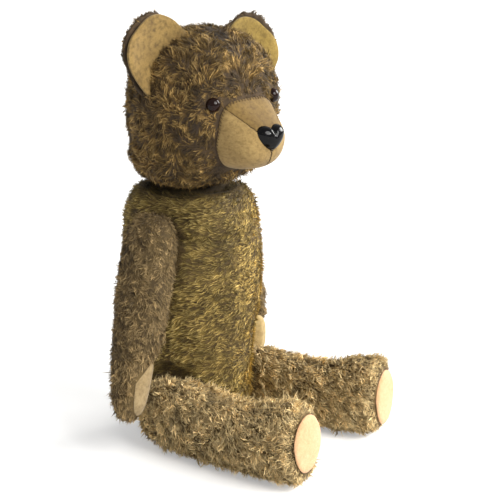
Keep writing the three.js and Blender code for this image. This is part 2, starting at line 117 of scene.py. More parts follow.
def local(points: np.ndarray, matrix: Matrix) -> np.ndarray:
    """Points as that frame sees them, in millimetres."""
    inverse = np.array(matrix.inverted())
    return (points @ inverse[:3, :3].T + inverse[:3, 3]) / MM


def placed(points: np.ndarray, matrix: Matrix) -> np.ndarray:
    """Points given in that frame in millimetres, in the row frame in metres."""
    m = np.array(matrix)
    return (np.asarray(points, float) * MM) @ m[:3, :3].T + m[:3, 3]


def aimed(vectors: np.ndarray, matrix: Matrix) -> np.ndarray:
    """Directions given in that frame, in the row frame."""
    return np.asarray(vectors, float) @ np.array(matrix)[:3, :3].T


# ---- mesh code ----


def unit(vectors: np.ndarray) -> np.ndarray:
    """The vectors at length one."""
    return vectors / np.maximum(np.linalg.norm(vectors, axis=-1, keepdims=True), 1e-9)


def rows_of(values: bpy.types.bpy_prop_collection, name: str) -> np.ndarray:
    """Three numbers from each of a mesh's points, one row each."""
    found = np.empty(len(values) * 3, np.float32)
    values.foreach_get(name, found)
    return found.reshape(-1, 3).astype(float)


def points_of(piece: Piece) -> np.ndarray:
    """The places of a piece's points."""
    return rows_of(piece.data.vertices, "co")


def normals_of(piece: Piece) -> np.ndarray:
    """The normals of a piece's points."""
    return rows_of(piece.data.vertex_normals, "vector")


def move_points(piece: Piece, points: np.ndarray) -> None:
    """Gives a piece new places for its points."""
    piece.data.vertices.foreach_set("co", points.astype(np.float32).ravel())
    piece.data.update()


def linked(mesh: bpy.types.Mesh) -> Piece:
    """A new piece in the scene that shows this mesh under its name."""
    piece = bpy.data.objects.new(mesh.name, mesh)
    bpy.context.scene.collection.objects.link(piece)
    return piece


def piece_from(name: str, points: np.ndarray, faces: Sequence[Sequence[int]]) -> Piece:
    """Makes a linked, smooth object of points and faces.

    Args:
        name: the piece's name.
        points: its points in metres.
        faces: the corners of each face.

    Returns:
        The new object, at the origin.
    """
    mesh = bpy.data.meshes.new(name)
    mesh.from_pydata([tuple(p) for p in np.asarray(points, float)], [], [tuple(f) for f in faces])
    mesh.shade_smooth()
    return linked(mesh)


def grid_faces(rows: int, columns: int, wrap: bool = False) -> list[tuple[int, int, int, int]]:
    """The faces between rows of points; wrap joins the last column to the first."""
    faces = []
    for start in range(0, (rows - 1) * columns, columns):
        for k in range(columns if wrap else columns - 1):
            j = (k + 1) % columns
            faces.append((start + k, start + j, start + columns + j, start + columns + k))
    return faces


def applied(piece: Piece) -> Piece:
    """Turns a piece with modifiers into its plain result."""
    depsgraph = bpy.context.evaluated_depsgraph_get()
    result = bpy.data.meshes.new_from_object(
        piece.evaluated_get(depsgraph), preserve_all_data_layers=True, depsgraph=depsgraph
    )
    piece.modifiers.clear()
    old = piece.data
    piece.data = result
    bpy.data.meshes.remove(old)
    result.name = piece.name
    return piece


def facing_out(piece: Piece) -> Piece:
    """Merges doubled points and turns every face outward."""
    shape = bmesh.new()
    shape.from_mesh(piece.data)
    bmesh.ops.remove_doubles(shape, verts=shape.verts, dist=1e-6)
    bmesh.ops.recalc_face_normals(shape, faces=shape.faces)
    shape.to_mesh(piece.data)
    shape.free()
    piece.data.shade_smooth()
    return piece


def nodes_as_piece(name: str, nodes: Sequence[str]) -> Piece:
    """One piece made of copies of CAD nodes.

    Args:
        name: the new piece's name.
        nodes: the nodes to copy.

    Returns:
        The piece, with each node's loose triangles merged.
    """
    shape = bmesh.new()
    for node in nodes:
        part = bmesh.new()
        part.from_mesh(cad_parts[node].data)
        bmesh.ops.remove_doubles(part, verts=part.verts, dist=1e-6)
        mesh = bpy.data.meshes.new(node + "_copy")
        part.to_mesh(mesh)
        part.free()
        shape.from_mesh(mesh)
        bpy.data.meshes.remove(mesh)
    mesh = bpy.data.meshes.new(name)
    shape.to_mesh(mesh)
    shape.free()
    return linked(mesh)


def tree_of(*pieces: Piece) -> BVHTree:
    """The surface of some pieces, ready for rays and distances."""
    points, faces = [], []
    for piece in pieces:
        start = len(points)
        points += [v.co.copy() for v in piece.data.vertices]
        faces += [[start + i for i in p.vertices] for p in piece.data.polygons]
    return BVHTree.FromPolygons(points, faces)


def surface_of(nodes: Sequence[str]) -> BVHTree:
    """The surface of some CAD nodes."""
    return tree_of(*[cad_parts[node] for node in nodes])


def distances(points: np.ndarray, surface: BVHTree, reach: float = 0.05) -> np.ndarray:
    """How far each point is from a surface, at most reach."""
    found = [surface.find_nearest(Vector(p), reach)[3] for p in points]
    return np.array([reach if d is None else d for d in found])


def drift(points: np.ndarray, grain: float, seed: float) -> np.ndarray:
    """A smooth wandering value from -1 to 1 at each point.

    Args:
        points: the places, in metres.
        grain: how far apart its ups and downs lie, in metres.
        seed: where in the noise it is read.
    """
    return np.array([noise.noise(Vector(p) / grain + Vector((seed, -seed, 2 * seed))) for p in points])


def furrows(points: np.ndarray, grain: float, seed: float, width: float = 0.16) -> np.ndarray:
    """1 on winding lines, such as the partings between locks of matted pile, and 0 away from them."""
    return 1 - step_up(np.abs(drift(points, grain, seed)), 0.02, width)


def step_up(value: np.ndarray, low: float, high: float) -> np.ndarray:
    """0 below low, 1 above high and smooth between."""
    t = np.clip((value - low) / (high - low), 0, 1)
    return t * t * (3 - 2 * t)


def wander(points: np.ndarray, *waves: tuple[float, float, float]) -> np.ndarray:
    """The sum of some drifts, each given by its size, its grain and its seed."""
    return sum(size * drift(points, grain, seed) for size, grain, seed in waves)


def laid(vectors: np.ndarray, normals: np.ndarray) -> np.ndarray:
    """The part of each vector that lies along the surface."""
    return vectors - (vectors * normals).sum(1, keepdims=True) * normals


def write_values(mesh: bpy.types.Mesh, name: str, values: np.ndarray) -> None:
    """Stores a value or a vector for each point of a mesh."""
    vector = values.ndim == 2
    made = mesh.attributes.new(name, "FLOAT_VECTOR" if vector else "FLOAT", "POINT")
    made.data.foreach_set("vector" if vector else "value", values.astype(np.float32).ravel())


# ---- node code ----


class Sheet:
    """Adds nodes to one node tree and links them."""

    def __init__(self, tree: bpy.types.NodeTree) -> None:
        """Starts on that tree."""
        self.tree = tree

    def add(self, kind: str, inputs: dict[str, object] | None = None, **settings: object) -> bpy.types.Node:
        """Adds one node.

        Args:
            kind: the node's type name.
            inputs: what each input gets, a socket to link or a plain value.
            settings: the node's own settings.

        Returns:
            The node.
        """
        made = self.tree.nodes.new(kind)
        for name, value in settings.items():
            setattr(made, name, value)
        self.feed(made, inputs or {})
        return made

    def feed(self, node: bpy.types.Node, inputs: dict[str, object]) -> None:
        """Gives a node's inputs their sockets to link or their plain values."""
        for name, value in inputs.items():
            socket = self.socket(node.inputs, name)
            if isinstance(value, Socket):
                self.tree.links.new(value, socket)
            else:
                socket.default_value = value

    @staticmethod
    def socket(sockets: Sequence[Socket], name: str) -> Socket:
        """The socket in use that has this name, or this place where the name is a number."""
        if name.isdigit():
            return [s for s in sockets if s.enabled][int(name)]
        return next(s for s in sockets if s.enabled and s.name == name)

    def out(
        self, kind: str, inputs: dict[str, object] | None = None, get: str = "0", **settings: object
    ) -> Socket:
        """Adds one node and returns one of its outputs."""
        return self.socket(self.add(kind, inputs, **settings).outputs, get)

    def math(self, operation: str, a: object, b: object | None = None) -> Socket:
        """One sum on one or two numbers."""
        return self.out("ShaderNodeMath", {"0": a} if b is None else {"0": a, "1": b}, operation=operation)

    def vector(self, operation: str, a: object, b: object | None = None) -> Socket:
        """One sum on vectors; Scale takes a number second."""
        second = {} if b is None else {("Scale" if operation == "SCALE" else "1"): b}
        return self.out("ShaderNodeVectorMath", {"0": a, **second}, operation=operation)

    def blend(self, share: object, a: object, b: object, mode: str = "MIX") -> Socket:
        """One colour laid on another."""
        inputs = {"Factor": share, "A": a, "B": b}
        return self.out("ShaderNodeMix", inputs, get="Result", data_type="RGBA", blend_type=mode)

    def ramp(
        self, value: object, low: float, high: float, to_low: float = 0.0, to_high: float = 1.0
    ) -> Socket:
        """A number's range laid onto another, held at its ends."""
        names = ("Value", "From Min", "From Max", "To Min", "To Max")
        values = (value, low, high, to_low, to_high)
        return self.out("ShaderNodeMapRange", dict(zip(names, values, strict=True)))

    def noise(self, scale: object, detail: float = 2.0) -> Socket:
        """Noise on the piece's own coordinates."""
        inputs = {"Vector": self.out("ShaderNodeTexCoord", get="Object"), "Scale": scale, "Detail": detail}
        return self.out("ShaderNodeTexNoise", inputs, get="Fac")

    def stored(self, name: str) -> Socket:
        """A value stored on the mesh, for a material."""
        return self.out("ShaderNodeAttribute", get="Fac", attribute_name=name)

    def bump(self, height: object, strength: float, depth: float) -> Socket:
        """A normal that follows a height."""
        return self.out("ShaderNodeBump", {"Height": height, "Strength": strength, "Distance": depth})


def rgba(colour: Colour, share: float = 1.0) -> tuple[float, float, float, float]:
    """A display colour of 0 to 255 as the linear one that a socket takes."""
    shares = [value / 255 for value in colour]
    linear = [c / 12.92 if c <= 0.04045 else ((c + 0.055) / 1.055) ** 2.4 for c in shares]
    return (linear[0] * share, linear[1] * share, linear[2] * share, 1.0)


def group_sheet(
    name: str, inputs: dict[str, tuple[str, object]], outputs: dict[str, str], kind: str = "ShaderNodeTree"
) -> tuple[Sheet, dict[str, Socket], bpy.types.Node]:
    """Starts a node group.

    Args:
        name: the group's name.
        inputs: each input's kind and first value, or None where it needs none.
        outputs: each output's kind.
        kind: the type of the tree.

    Returns:
        The sheet, the input sockets by name, and the node that takes the results.
    """
    tree = bpy.data.node_groups.new(name, kind)
    for label, (socket, value) in inputs.items():
        made = tree.interface.new_socket(label, in_out="INPUT", socket_type=socket)
        if value is not None:
            made.default_value = value
    for label, socket in outputs.items():
        tree.interface.new_socket(label, in_out="OUTPUT", socket_type=socket)
    sheet = Sheet(tree)
    entry = sheet.add("NodeGroupInput")
    return sheet, {s.name: s for s in entry.outputs if s.name}, sheet.add("NodeGroupOutput")


FLOAT, COLOUR, GEOMETRY = "NodeSocketFloat", "NodeSocketColor", "NodeSocketGeometry"


def faded_group() -> bpy.types.NodeTree:
    """Old dye: large faded fields, small blotches and a little grime, on any colour."""
    sheet, given, result = group_sheet(
        "faded_dye",
        {
            "Color": (COLOUR, (0.5, 0.5, 0.5, 1)),
            "Faded": (COLOUR, (0.6, 0.6, 0.5, 1)),
            "Grime": (COLOUR, (0.1, 0.08, 0.05, 1)),
            "Field Scale": (FLOAT, 22.0),
            "Blotch Scale": (FLOAT, 90.0),
            "Fading": (FLOAT, 0.5),
            "Dirt": (FLOAT, 0.2),
        },
        {"Color": COLOUR},
    )
    fields = sheet.noise(given["Field Scale"], 3.0)
    blotches = sheet.noise(given["Blotch Scale"], 4.0)
    fading = sheet.math("MULTIPLY", sheet.ramp(fields, 0.35, 0.65), given["Fading"])
    faded = sheet.blend(fading, given["Color"], given["Faded"])
    dirt = sheet.math("MULTIPLY", sheet.ramp(blotches, 0.45, 0.72), given["Dirt"])
    sheet.feed(result, {"Color": sheet.blend(dirt, faded, given["Grime"])})
    return sheet.tree


def fibre_group() -> bpy.types.NodeTree:
    """Matted fibres: fine crossing threads as a height, and as a Light share for painted shade, low between
    the threads.
    """
    sheet, given, result = group_sheet(
        "matted_fibres", {"Scale": (FLOAT, 900.0)}, {"Height": FLOAT, "Light": FLOAT}
    )
    place = sheet.out("ShaderNodeTexCoord", get="Object")
    top = None
    for angle in (0.4, 1.6, 2.7):
        turned = sheet.out("ShaderNodeMapping", {"Vector": place, "Rotation": (angle, angle * 0.7, angle)})
        squeezed = sheet.vector("MULTIPLY", turned, (1.0, 0.22, 1.0))
        inputs = {"Vector": squeezed, "Scale": given["Scale"], "Detail": 2.0, "Distortion": 0.6}
        height = sheet.out("ShaderNodeTexNoise", inputs, get="Fac")
        top = height if top is None else sheet.math("MAXIMUM", top, height)
    sheet.feed(result, {"Height": top, "Light": sheet.ramp(top, 0.45, 0.8)})
    return sheet.tree


def weave_group() -> bpy.types.NodeTree:
    """A plain weave: threads over and under, as a height."""
    sheet, given, result = group_sheet("plain_weave", {"Threads": (FLOAT, 900.0)}, {"Height": FLOAT})
    place = sheet.out("ShaderNodeTexCoord", get="Object")
    waves = []
    for angle in (0.0, math.pi / 2):
        turned = sheet.out("ShaderNodeMapping", {"Vector": place, "Rotation": (0.0, angle, 0.5)})
        scale = sheet.math("MULTIPLY", given["Threads"], 0.3)
        inputs = {"Vector": turned, "Scale": scale, "Distortion": 1.5}
        waves.append(sheet.out("ShaderNodeTexWave", inputs, get="Fac"))
    sheet.feed(result, {"Height": sheet.math("MAXIMUM", *waves)})
    return sheet.tree


GROUPS: dict[str, bpy.types.NodeTree] = {}


def shared_group(name: str) -> bpy.types.NodeTree:
    """The one copy of a shared group, built on first use."""
    makers = {"faded_dye": faded_group, "matted_fibres": fibre_group, "plain_weave": weave_group}
    if name not in GROUPS:
        GROUPS[name] = makers[name]()
    return GROUPS[name]


def group_node(sheet: Sheet, name: str, inputs: dict[str, object]) -> bpy.types.Node:
    """Puts a shared group into a material."""
    return sheet.add("ShaderNodeGroup", inputs, node_tree=shared_group(name))


def old_dye(
    sheet: Sheet, colours: Sequence[object], scales: Sequence[float], shares: Sequence[float]
) -> Socket:
    """A dye with faded fields and grime on it.

    Args:
        sheet: the material's sheet.
        colours: the dye, faded and soiled.
        scales: the scale of the faded fields and that of the soiled blotches.
        shares: how much is faded and how much is soiled.

    Returns:
        The colour.
    """
    names = ("Color", "Faded", "Grime", "Field Scale", "Blotch Scale", "Fading", "Dirt")
    inputs = dict(zip(names, (*colours, *scales, *shares), strict=True))
    return group_node(sheet, "faded_dye", inputs).outputs["Color"]


def fresh_material(name: str) -> tuple[bpy.types.Material, Sheet, bpy.types.Node]:
    """A new material, its sheet and its Principled shader."""
    material = bpy.data.materials.new(name)
    material.use_nodes = True
    shader = next(n for n in material.node_tree.nodes if n.type == "BSDF_PRINCIPLED")
    return material, Sheet(material.node_tree), shader


# ---- finishes ----


@dataclass(frozen=True)
class PileFinish:
    """Dyed plush pile: dark at the root, worn pale at the tip."""

    name: str
    root: Colour
    middle: Colour
    tip: Colour
    faded: Colour
    fading: float = 0.5
    contrast: float = 0.5

    def material(self) -> bpy.types.Material:
        """The pile's material, which reads each hair's own values."""
        made, sheet, shader = fresh_material(self.name)
        along, shade, tuft, dark = (sheet.stored(name) for name in ("along", "shade", "tuft", "dark"))
        lower = sheet.blend(sheet.ramp(along, 0.0, 0.45), rgba(self.root), rgba(self.middle))
        whole = sheet.blend(sheet.ramp(along, 0.4, 1.0), lower, rgba(self.tip))
        mixed = sheet.math("ADD", sheet.math("MULTIPLY", shade, 0.6), sheet.math("MULTIPLY", tuft, 0.4))
        light = sheet.ramp(mixed, 0.1, 0.9, 1.0 - self.contrast, 1.0 + self.contrast)
        light = sheet.math("MULTIPLY", light, sheet.ramp(shade, 0.84, 0.94, 1.0, 1.45))
        # The stored dark value is painted shade above 0 and painted light below 0, with some lighter and
        # darker locks of the pile's own tone on the head.
        light = sheet.math("MULTIPLY", light, sheet.ramp(dark, -1.0, 0.0, 1.7, 1.0))
        light = sheet.math("MULTIPLY", light, sheet.ramp(dark, 0.0, 1.0, 1.0, 0.2))
        colours = (whole, rgba(self.faded), rgba(self.root, 0.7))
        dyed = old_dye(sheet, colours, (26.0, 120.0), (self.fading, 0.35))
        sheet.feed(
            shader,
            {
                "Base Color": sheet.vector("SCALE", dyed, light),
                "Roughness": 0.62,
                "Specular IOR Level": 0.16,
                "Sheen Weight": 0.06,
                "Sheen Roughness": 0.5,
            },
        )
        return made


@dataclass(frozen=True)
class ClothFinish:
    """The woven backing under the pile."""

    name: str
    thread: Colour
    worn: Colour

    def material(self) -> bpy.types.Material:
        """The backing's material: a weave with dye and dirt, and painted shade in its low places."""
        made, sheet, shader = fresh_material(self.name)
        height = group_node(sheet, "plain_weave", {"Threads": 1500.0}).outputs["Height"]
        colours = (rgba(self.thread), rgba(self.worn), rgba(self.thread, 0.4))
        dyed = old_dye(sheet, colours, (40.0, 260.0), (0.7, 0.6))
        # Painted shade: the weave's low places are darker.
        shaded = sheet.blend(sheet.ramp(height, 0.2, 0.9, 0.45, 0.0), dyed, rgba(self.thread, 0.35))
        relief = sheet.bump(height, 0.5, 0.0004)
        sheet.feed(shader, {"Base Color": shaded, "Normal": relief, "Roughness": 0.9})
        return made


@dataclass(frozen=True)
class FeltFinish:
    """Worn wool felt with matted fibres."""

    name: str
    wool: Colour
    worn: Colour
    soiled: Colour
    dirt: float = 0.35
    fading: float = 0.6
    relief: float = 0.35

    def material(self) -> bpy.types.Material:
        """The felt's material: fibres with painted shade between them, faded fields and grime."""
        made, sheet, shader = fresh_material(self.name)
        fibres = group_node(sheet, "matted_fibres", {"Scale": 1100.0}).outputs
        colours = [rgba(colour) for colour in (self.wool, self.worn, self.soiled)]
        dyed = old_dye(sheet, colours, (45.0, 320.0), (self.fading, self.dirt))
        # Painted shade: a darker copy of the dye shows in the low places between the fibres.
        darker = sheet.blend(1.0, dyed, (0.74, 0.70, 0.62, 1.0), mode="MULTIPLY")
        sheet.feed(
            shader,
            {
                "Base Color": sheet.blend(fibres["Light"], darker, dyed),
                "Normal": sheet.bump(fibres["Height"], self.relief, 0.0005),
                "Roughness": 0.88,
                "Sheen Weight": 0.12,
            },
        )
        return made


@dataclass(frozen=True)
class PlasticFinish:
    """Polished black or brown plastic with handling marks."""

    name: str
    body: Colour
    bloom: Colour
    gloss: float = 0.08

    def material(self) -> bpy.types.Material:
        """The plastic's material: deep colour, faint haze and fine scratches."""
        made, sheet, shader = fresh_material(self.name)
        haze, specks = sheet.noise(240.0, 5.0), sheet.noise(1400.0)
        colour = sheet.blend(sheet.ramp(haze, 0.5, 0.8, 0.0, 0.5), rgba(self.body), rgba(self.bloom))
        sheet.feed(
            shader,
            {
                "Base Color": sheet.blend(sheet.ramp(specks, 0.68, 0.76, 0.0, 0.2), colour, rgba(DUST)),
                "Roughness": sheet.ramp(haze, 0.4, 0.75, self.gloss, self.gloss + 0.2),
                "Normal": sheet.bump(haze, 0.25, 0.0004),
                "Specular IOR Level": 0.22,
            },
        )
        return made


@dataclass(frozen=True)
class HardwareFinish:
    """The joint parts inside: brown board, grey steel or pale wood wool."""

    name: str
    body: Colour
    stain: Colour
    metallic: float = 0.0
    roughness: float = 0.7
    grain: float = 300.0

    def material(self) -> bpy.types.Material:
        """The part's material: a speckled, stained surface."""
        made, sheet, shader = fresh_material(self.name)
        grain = sheet.noise(self.grain, 6.0)
        sheet.feed(
            shader,
            {
                "Base Color": sheet.blend(sheet.ramp(grain, 0.4, 0.7), rgba(self.body), rgba(self.stain)),
                "Roughness": sheet.ramp(grain, 0.3, 0.8, self.roughness - 0.1, self.roughness + 0.2),
                "Metallic": self.metallic,
            },
        )
        return made


DUST = (150, 140, 120)
HEAD_PILE = PileFinish("head_pile", (18, 10, 3), (86, 63, 32), (178, 148, 92), (148, 119, 66), 0.4, 0.72)
TORSO_PILE = PileFinish(
    "torso_pile", (42, 31, 12), (124, 103, 50), (202, 177, 108), (164, 139, 78), 0.45, 0.66
)
ARM_PILE = PileFinish("arm_pile", (46, 34, 19), (112, 92, 60), (166, 142, 100), (140, 118, 80), 0.45, 0.5)
LEG_PILE = PileFinish(
    "leg_pile", (90, 71, 42), (186, 160, 110), (242, 218, 166), (220, 194, 140), 0.45, 0.46
)
HEAD_CLOTH = ClothFinish("head_backing", (52, 38, 22), (92, 72, 46))
BODY_CLOTH = ClothFinish("body_backing", (74, 58, 31), (120, 98, 56))
PAW_FELT = {
    Side.RIGHT: FeltFinish("worn_paw_felt", (163, 142, 103), (183, 162, 124), (108, 88, 56), 0.5),
    Side.LEFT: FeltFinish("paw_felt", (182, 158, 107), (204, 182, 127), (122, 100, 58), 0.45),
}
CHEEK_FELT = FeltFinish("cheek_felt", (156, 130, 80), (182, 154, 98), (108, 84, 44), 0.5)
BRIDGE_FELT = FeltFinish("bridge_felt", (124, 99, 51), (152, 124, 66), (84, 62, 28), 0.65)
EAR_FELT = {
    Side.RIGHT: FeltFinish("ear_felt", (132, 107, 57), (166, 137, 77), (70, 52, 24), 0.65),
    Side.LEFT: FeltFinish("pale_ear_felt", (153, 129, 62), (191, 163, 86), (88, 66, 30), 0.5),
}
SOLE_FELT = FeltFinish("sole_felt", (230, 184, 140), (240, 196, 158), (194, 146, 100), 0.35, 0.6, 0.3)
NOSE_PLASTIC = PlasticFinish("nose_plastic", (3, 3, 4), (9, 8, 11))
EYE_PLASTIC = PlasticFinish("eye_plastic", (24, 9, 6), (52, 24, 14), 0.04)
DARK_THREAD = ClothFinish("dark_thread", (58, 42, 26), (96, 74, 46))
STEEL = HardwareFinish("dull_steel", (150, 150, 148), (104, 92, 80), 0.9, 0.4)
BOARD = HardwareFinish("hardboard", (120, 88, 58), (84, 60, 40), 0.0, 0.8)
WOOD_WOOL = HardwareFinish("wood_wool", (214, 190, 140), (170, 140, 92), 0.0, 0.9, 120.0)


class Wardrobe:
    """Builds each finish's material once."""

    def __init__(self) -> None:
        """Starts empty."""
        self.made: dict[str, bpy.types.Material] = {}

    def dress(self, piece: Piece, finish: object) -> None:
        """Gives a piece one finish all over."""
        piece.data.materials.clear()
        piece.data.materials.append(self.get(finish))

    def get(self, finish: object) -> bpy.types.Material:
        """The finish's material."""
        if finish.name not in self.made:
            self.made[finish.name] = finish.material()
        return self.made[finish.name]


WARDROBE = Wardrobe()


def hand_over(piece: Piece, finish: object, body: str, node: str) -> Piece:
    """Dresses a finished piece and gives it to the frame.

    Args:
        piece: the piece.
        finish: its finish.
        body: the body that it moves with.
        node: the CAD node that it stands for.

    Returns:
        The piece.
    """
    WARDROBE.dress(piece, finish)
    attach(piece, body)
    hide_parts(node)
    log.info("%s: %d faces", piece.name, len(piece.data.polygons))
    return piece


# ---- plush: skin and pile ----


@dataclass(frozen=True)
class Stuffing:
    """How a cover is filled: it is swelled by pressure, and capped."""

    pressure: float = 4.0
    stretch: float = 12.0
    bending: float = 2.0
    levels: int = 10
    cap: float = 1.8
    last_frame: int = 20
    fill: float = 0.85

    def swell(self, piece: Piece, held: np.ndarray) -> None:
        """Runs the cloth on a closed skin and keeps its result.

        Args:
            piece: the remeshed skin.
            held: for each point, 1 where it is pressed flat or stitched down, 0 where it is free.
        """
        start = points_of(piece)
        group = piece.vertex_groups.new(name="held")
        for level in range(self.levels + 1):
            chosen = np.flatnonzero(np.round(held * self.levels) == level)
            if len(chosen):
                group.add([int(i) for i in chosen], level / self.levels, "REPLACE")
        cloth = piece.modifiers.new("stuffing", "CLOTH")
        settings = cloth.settings
        settings.vertex_group_mass = group.name
        settings.pin_stiffness = 1.0
        settings.use_pressure = True
        settings.uniform_pressure_force = self.pressure
        settings.tension_stiffness = self.stretch
        settings.compression_stiffness = self.stretch
        settings.bending_stiffness = self.bending
        settings.effector_weights.gravity = 0.0
        for number in range(1, self.last_frame + 1):
            bpy.context.scene.frame_set(number)
        depsgraph = bpy.context.evaluated_depsgraph_get()
        swollen = points_of(piece.evaluated_get(depsgraph))
        piece.modifiers.clear()
        piece.vertex_groups.clear()
        bpy.context.scene.frame_set(1)
        move = np.nan_to_num(swollen - start)
        size = np.linalg.norm(move, axis=1, keepdims=True)
        move *= np.minimum(1, self.cap * MM / np.maximum(size, 1e-9))
        move_points(piece, start + move)


@dataclass
class PileField:
    """What grows where on a skin, one row for each of its points."""

    density: np.ndarray
    length: np.ndarray
    rise: np.ndarray
    comb: np.ndarray
    # Painted shade above 0 and painted light below 0, with some locks of the pile's own lighter and darker
    # tone.
    dark: np.ndarray


@dataclass(frozen=True)
class PileCut:
    """One piece's pile. Lengths are in millimetres, and hairs are for each square millimetre."""

    hairs: float
    length: float
    width: float = 0.7
    tuft: float = 5.0
    pull: float = 0.35
    stray: float = 0.45
    sway: float = 0.7
    curl: float = 1.4
    seed: int = 1


HAIR_BENDS = (-0.3, -0.12, 0.05, 0.22, 0.4, 0.6)
HAIR_MIDDLE = 0.55
HAIR_POINTS = 5
PILE_WAVE = 260.0


def strand_kit() -> bpy.types.Collection:
    """Six tapered ribbon hairs of length one, each bent its own way, that grow from the origin up z."""
    kit = bpy.data.collections.new("strands")
    for number, bend in enumerate(HAIR_BENDS):
        lean = 0.25 * abs(bend)
        points = [
            (bend * share**2, way * (0.5 - 0.24 * share**2), share * (1 - lean * share))
            for share in (0.0, HAIR_MIDDLE)
            for way in (-1, 1)
        ]
        mesh = bpy.data.meshes.new(f"strand_{number}")
        mesh.from_pydata([*points, (bend, 0, 1 - lean)], [], [(0, 1, 3, 2), (2, 3, 4)])
        write_values(mesh, "along", np.array([0.0, 0.0, HAIR_MIDDLE, HAIR_MIDDLE, 1.0]))
        write_values(mesh, "side", np.array([0.0, 1.0, 0.0, 1.0, 0.5]))
        kit.objects.link(bpy.data.objects.new(f"strand_{number}", mesh))
    return kit


def set_inputs(modifier: bpy.types.Modifier, values: dict[str, object]) -> None:
    """Sets a node modifier's inputs by the identifiers of their sockets."""
    names = {
        s.name: s.identifier
        for s in modifier.node_group.interface.items_tree
        if s.item_type == "SOCKET" and s.in_out == "INPUT"
    }
    for name, value in values.items():
        modifier[names[name]] = value


def geometry_sheet(
    name: str, inputs: dict[str, str]
) -> tuple[Sheet, dict[str, Socket], bpy.types.Node]:
    """Starts a Geometry Nodes tree with a Geometry input and output and these inputs."""
    kinds = {"Geometry": (GEOMETRY, None), **{label: (kind, None) for label, kind in inputs.items()}}
    return group_sheet(name, kinds, {"Geometry": GEOMETRY}, "GeometryNodeTree")


